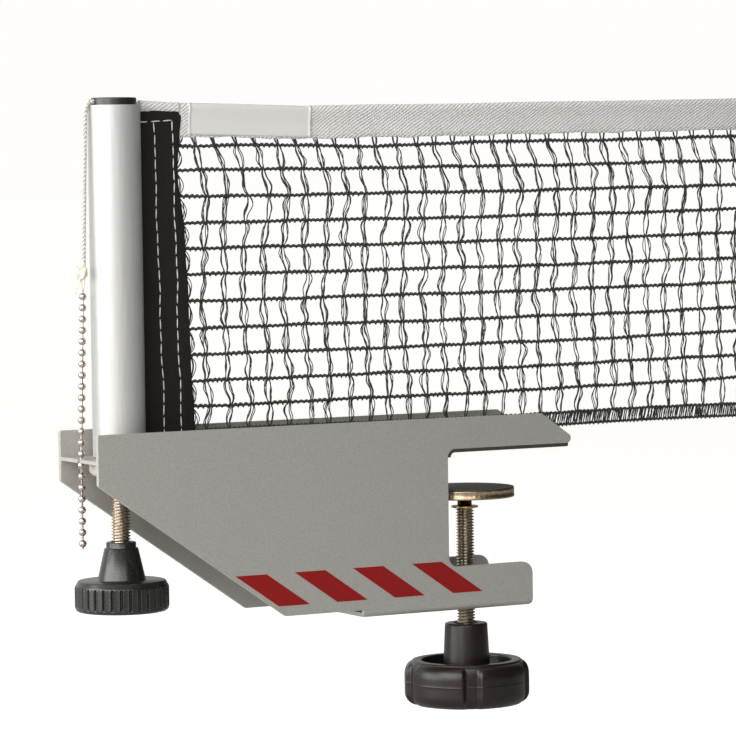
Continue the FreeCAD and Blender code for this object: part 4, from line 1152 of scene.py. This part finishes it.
ball_chain("upper_chain", chain_foot + chain_lean * 2.176, chain_lean * ball_pitch, "bracket", "bead_chain",
           Count=15, Before=0.65)
ball_chain("lower_chain", (-180.6, 0, 1.606), (0, 0, -ball_pitch), "chain_end", "chain_tail", Count=8, After=0.52)


# ---- Studio ----
# A pale floor that reaches to the horizon, two large soft lamps from the left, one from the front
# and a weak one above.  The camera stands where the photograph was taken.
floor_level = -0.137
floor_reach = 60
floor_mesh = bpy.data.meshes.new("studio_floor")
floor_mesh.from_pydata([(x * floor_reach, y * floor_reach, floor_level)
                        for x, y in ((-1, -1), (1, -1), (1, 1), (-1, 1))], [], [(0, 1, 2, 3)])
floor = bpy.data.objects.new("studio_floor", floor_mesh)
bpy.context.scene.collection.objects.link(floor)
floor_paint = new_material("pale_floor", (0.60, 0.597, 0.59), 0.9)
tree = floor_paint.node_tree
rays = add_node(tree, "ShaderNodeLightPath")
place = add_node(tree, "ShaderNodeTexCoord")
away = add_node(tree, "ShaderNodeVectorMath", operation="LENGTH")
fade = add_node(tree, "ShaderNodeMapRange", {"From Min": 0.5, "From Max": 3.5, "To Min": 0.80, "To Max": 0.94})
mirrored = add_node(tree, "ShaderNodeMath", {1: 0.12}, operation="MULTIPLY")
seen = add_node(tree, "ShaderNodeMath", operation="MAXIMUM")
seen_through = add_node(tree, "ShaderNodeMath", operation="MAXIMUM")
level = add_node(tree, "ShaderNodeMath", operation="MULTIPLY")
glow = add_node(tree, "ShaderNodeEmission", {"Color": (1.0, 0.985, 0.955, 1)})
total = add_node(tree, "ShaderNodeAddShader")
wire(tree, (rays, "Is Glossy Ray", mirrored, 0), (mirrored, 0, seen, 1), (rays, "Is Camera Ray", seen, 0),
     (seen, 0, seen_through, 0), (rays, "Is Transmission Ray", seen_through, 1),
     (place, "Object", away, 0), (away, "Value", fade, "Value"), (seen_through, 0, level, 0),
     (fade, "Result", level, 1), (level, 0, glow, "Strength"), (tree.nodes["Principled BSDF"], "BSDF", total, 0),
     (glow, "Emission", total, 1), (total, "Shader", tree.nodes["Material Output"], "Surface"))
floor.data.materials.append(floor_paint)

world = bpy.data.worlds.new("studio_room")
bpy.context.scene.world = world
world.use_nodes = True
tree = world.node_tree
room = tree.nodes["Background"]
room.inputs["Color"].default_value = (1, 0.985, 0.96, 1)
rays = add_node(tree, "ShaderNodeLightPath")
looking = add_node(tree, "ShaderNodeTexCoord")
towards = add_node(tree, "ShaderNodeVectorMath", {1: (-0.85, 0.53, 0)}, operation="DOT_PRODUCT")
backdrop = add_node(tree, "ShaderNodeMapRange", {"From Min": -0.6, "From Max": 0.6, "To Min": 0.05, "To Max": 1.0})
mirrored = add_node(tree, "ShaderNodeMath", operation="MULTIPLY")
lighting = add_node(tree, "ShaderNodeMath", {1: 0.06}, operation="MAXIMUM")
seen = add_node(tree, "ShaderNodeMath", operation="MAXIMUM")
strength = add_node(tree, "ShaderNodeMath", operation="MAXIMUM")
wire(tree, (looking, "Generated", towards, 0), (towards, "Value", backdrop, "Value"),
     (rays, "Is Glossy Ray", mirrored, 0), (backdrop, "Result", mirrored, 1), (mirrored, 0, lighting, 0),
     (rays, "Is Camera Ray", seen, 0), (rays, "Is Transmission Ray", seen, 1), (seen, 0, strength, 0),
     (lighting, 0, strength, 1), (strength, 0, room, "Strength"))


def soft_lamp(name, place, aim, size, power, colour=(1, 1, 1)):
    """A rectangular soft lamp that faces a point."""
    data = bpy.data.lights.new(name, "AREA")
    data.shape = "RECTANGLE"
    data.size, data.size_y = size
    data.energy = power
    data.color = colour
    lamp = bpy.data.objects.new(name, data)
    lamp.location = place
    lamp.rotation_euler = (Vector(aim) - Vector(place)).to_track_quat("-Z", "Y").to_euler()
    bpy.context.scene.collection.objects.link(lamp)


soft_lamp("left_lamp", (-1.33, 0.20, 0.42), (-0.08, 0, 0.02), (0.95, 1.1), 21, (1.0, 0.985, 0.96))
soft_lamp("near_lamp", (-1.2, -0.66, 0.45), (-0.08, 0, 0.02), (0.8, 0.9), 13, (1.0, 0.99, 0.97))
soft_lamp("front_lamp", (-0.75, -1.6, 0.8), (-0.02, 0, 0.02), (1.2, 1.0), 12)
soft_lamp("top_lamp", (0.05, 0.15, 1.25), (0, 0, 0), (1.1, 1.1), 3)

camera_place = (-0.8105, -1.3701, 0.1149)
azimuth = -29.14
pitch = 90 - 2.87
roll = -0.8
camera_data = bpy.data.cameras.new("camera")
camera_data.lens = 181.42
camera_data.sensor_width = 36.0
camera_data.clip_start = 0.05
camera = bpy.data.objects.new("camera", camera_data)
stance = Matrix.Translation(camera_place)
for angle, axis in ((azimuth, "Z"), (pitch, "X"), (roll, "Z")):
    stance @= Matrix.Rotation(math.radians(angle), 4, axis)
camera.matrix_world = stance
bpy.context.scene.collection.objects.link(camera)
bpy.context.scene.camera = camera
bpy.context.scene.view_settings.view_transform = "Standard"
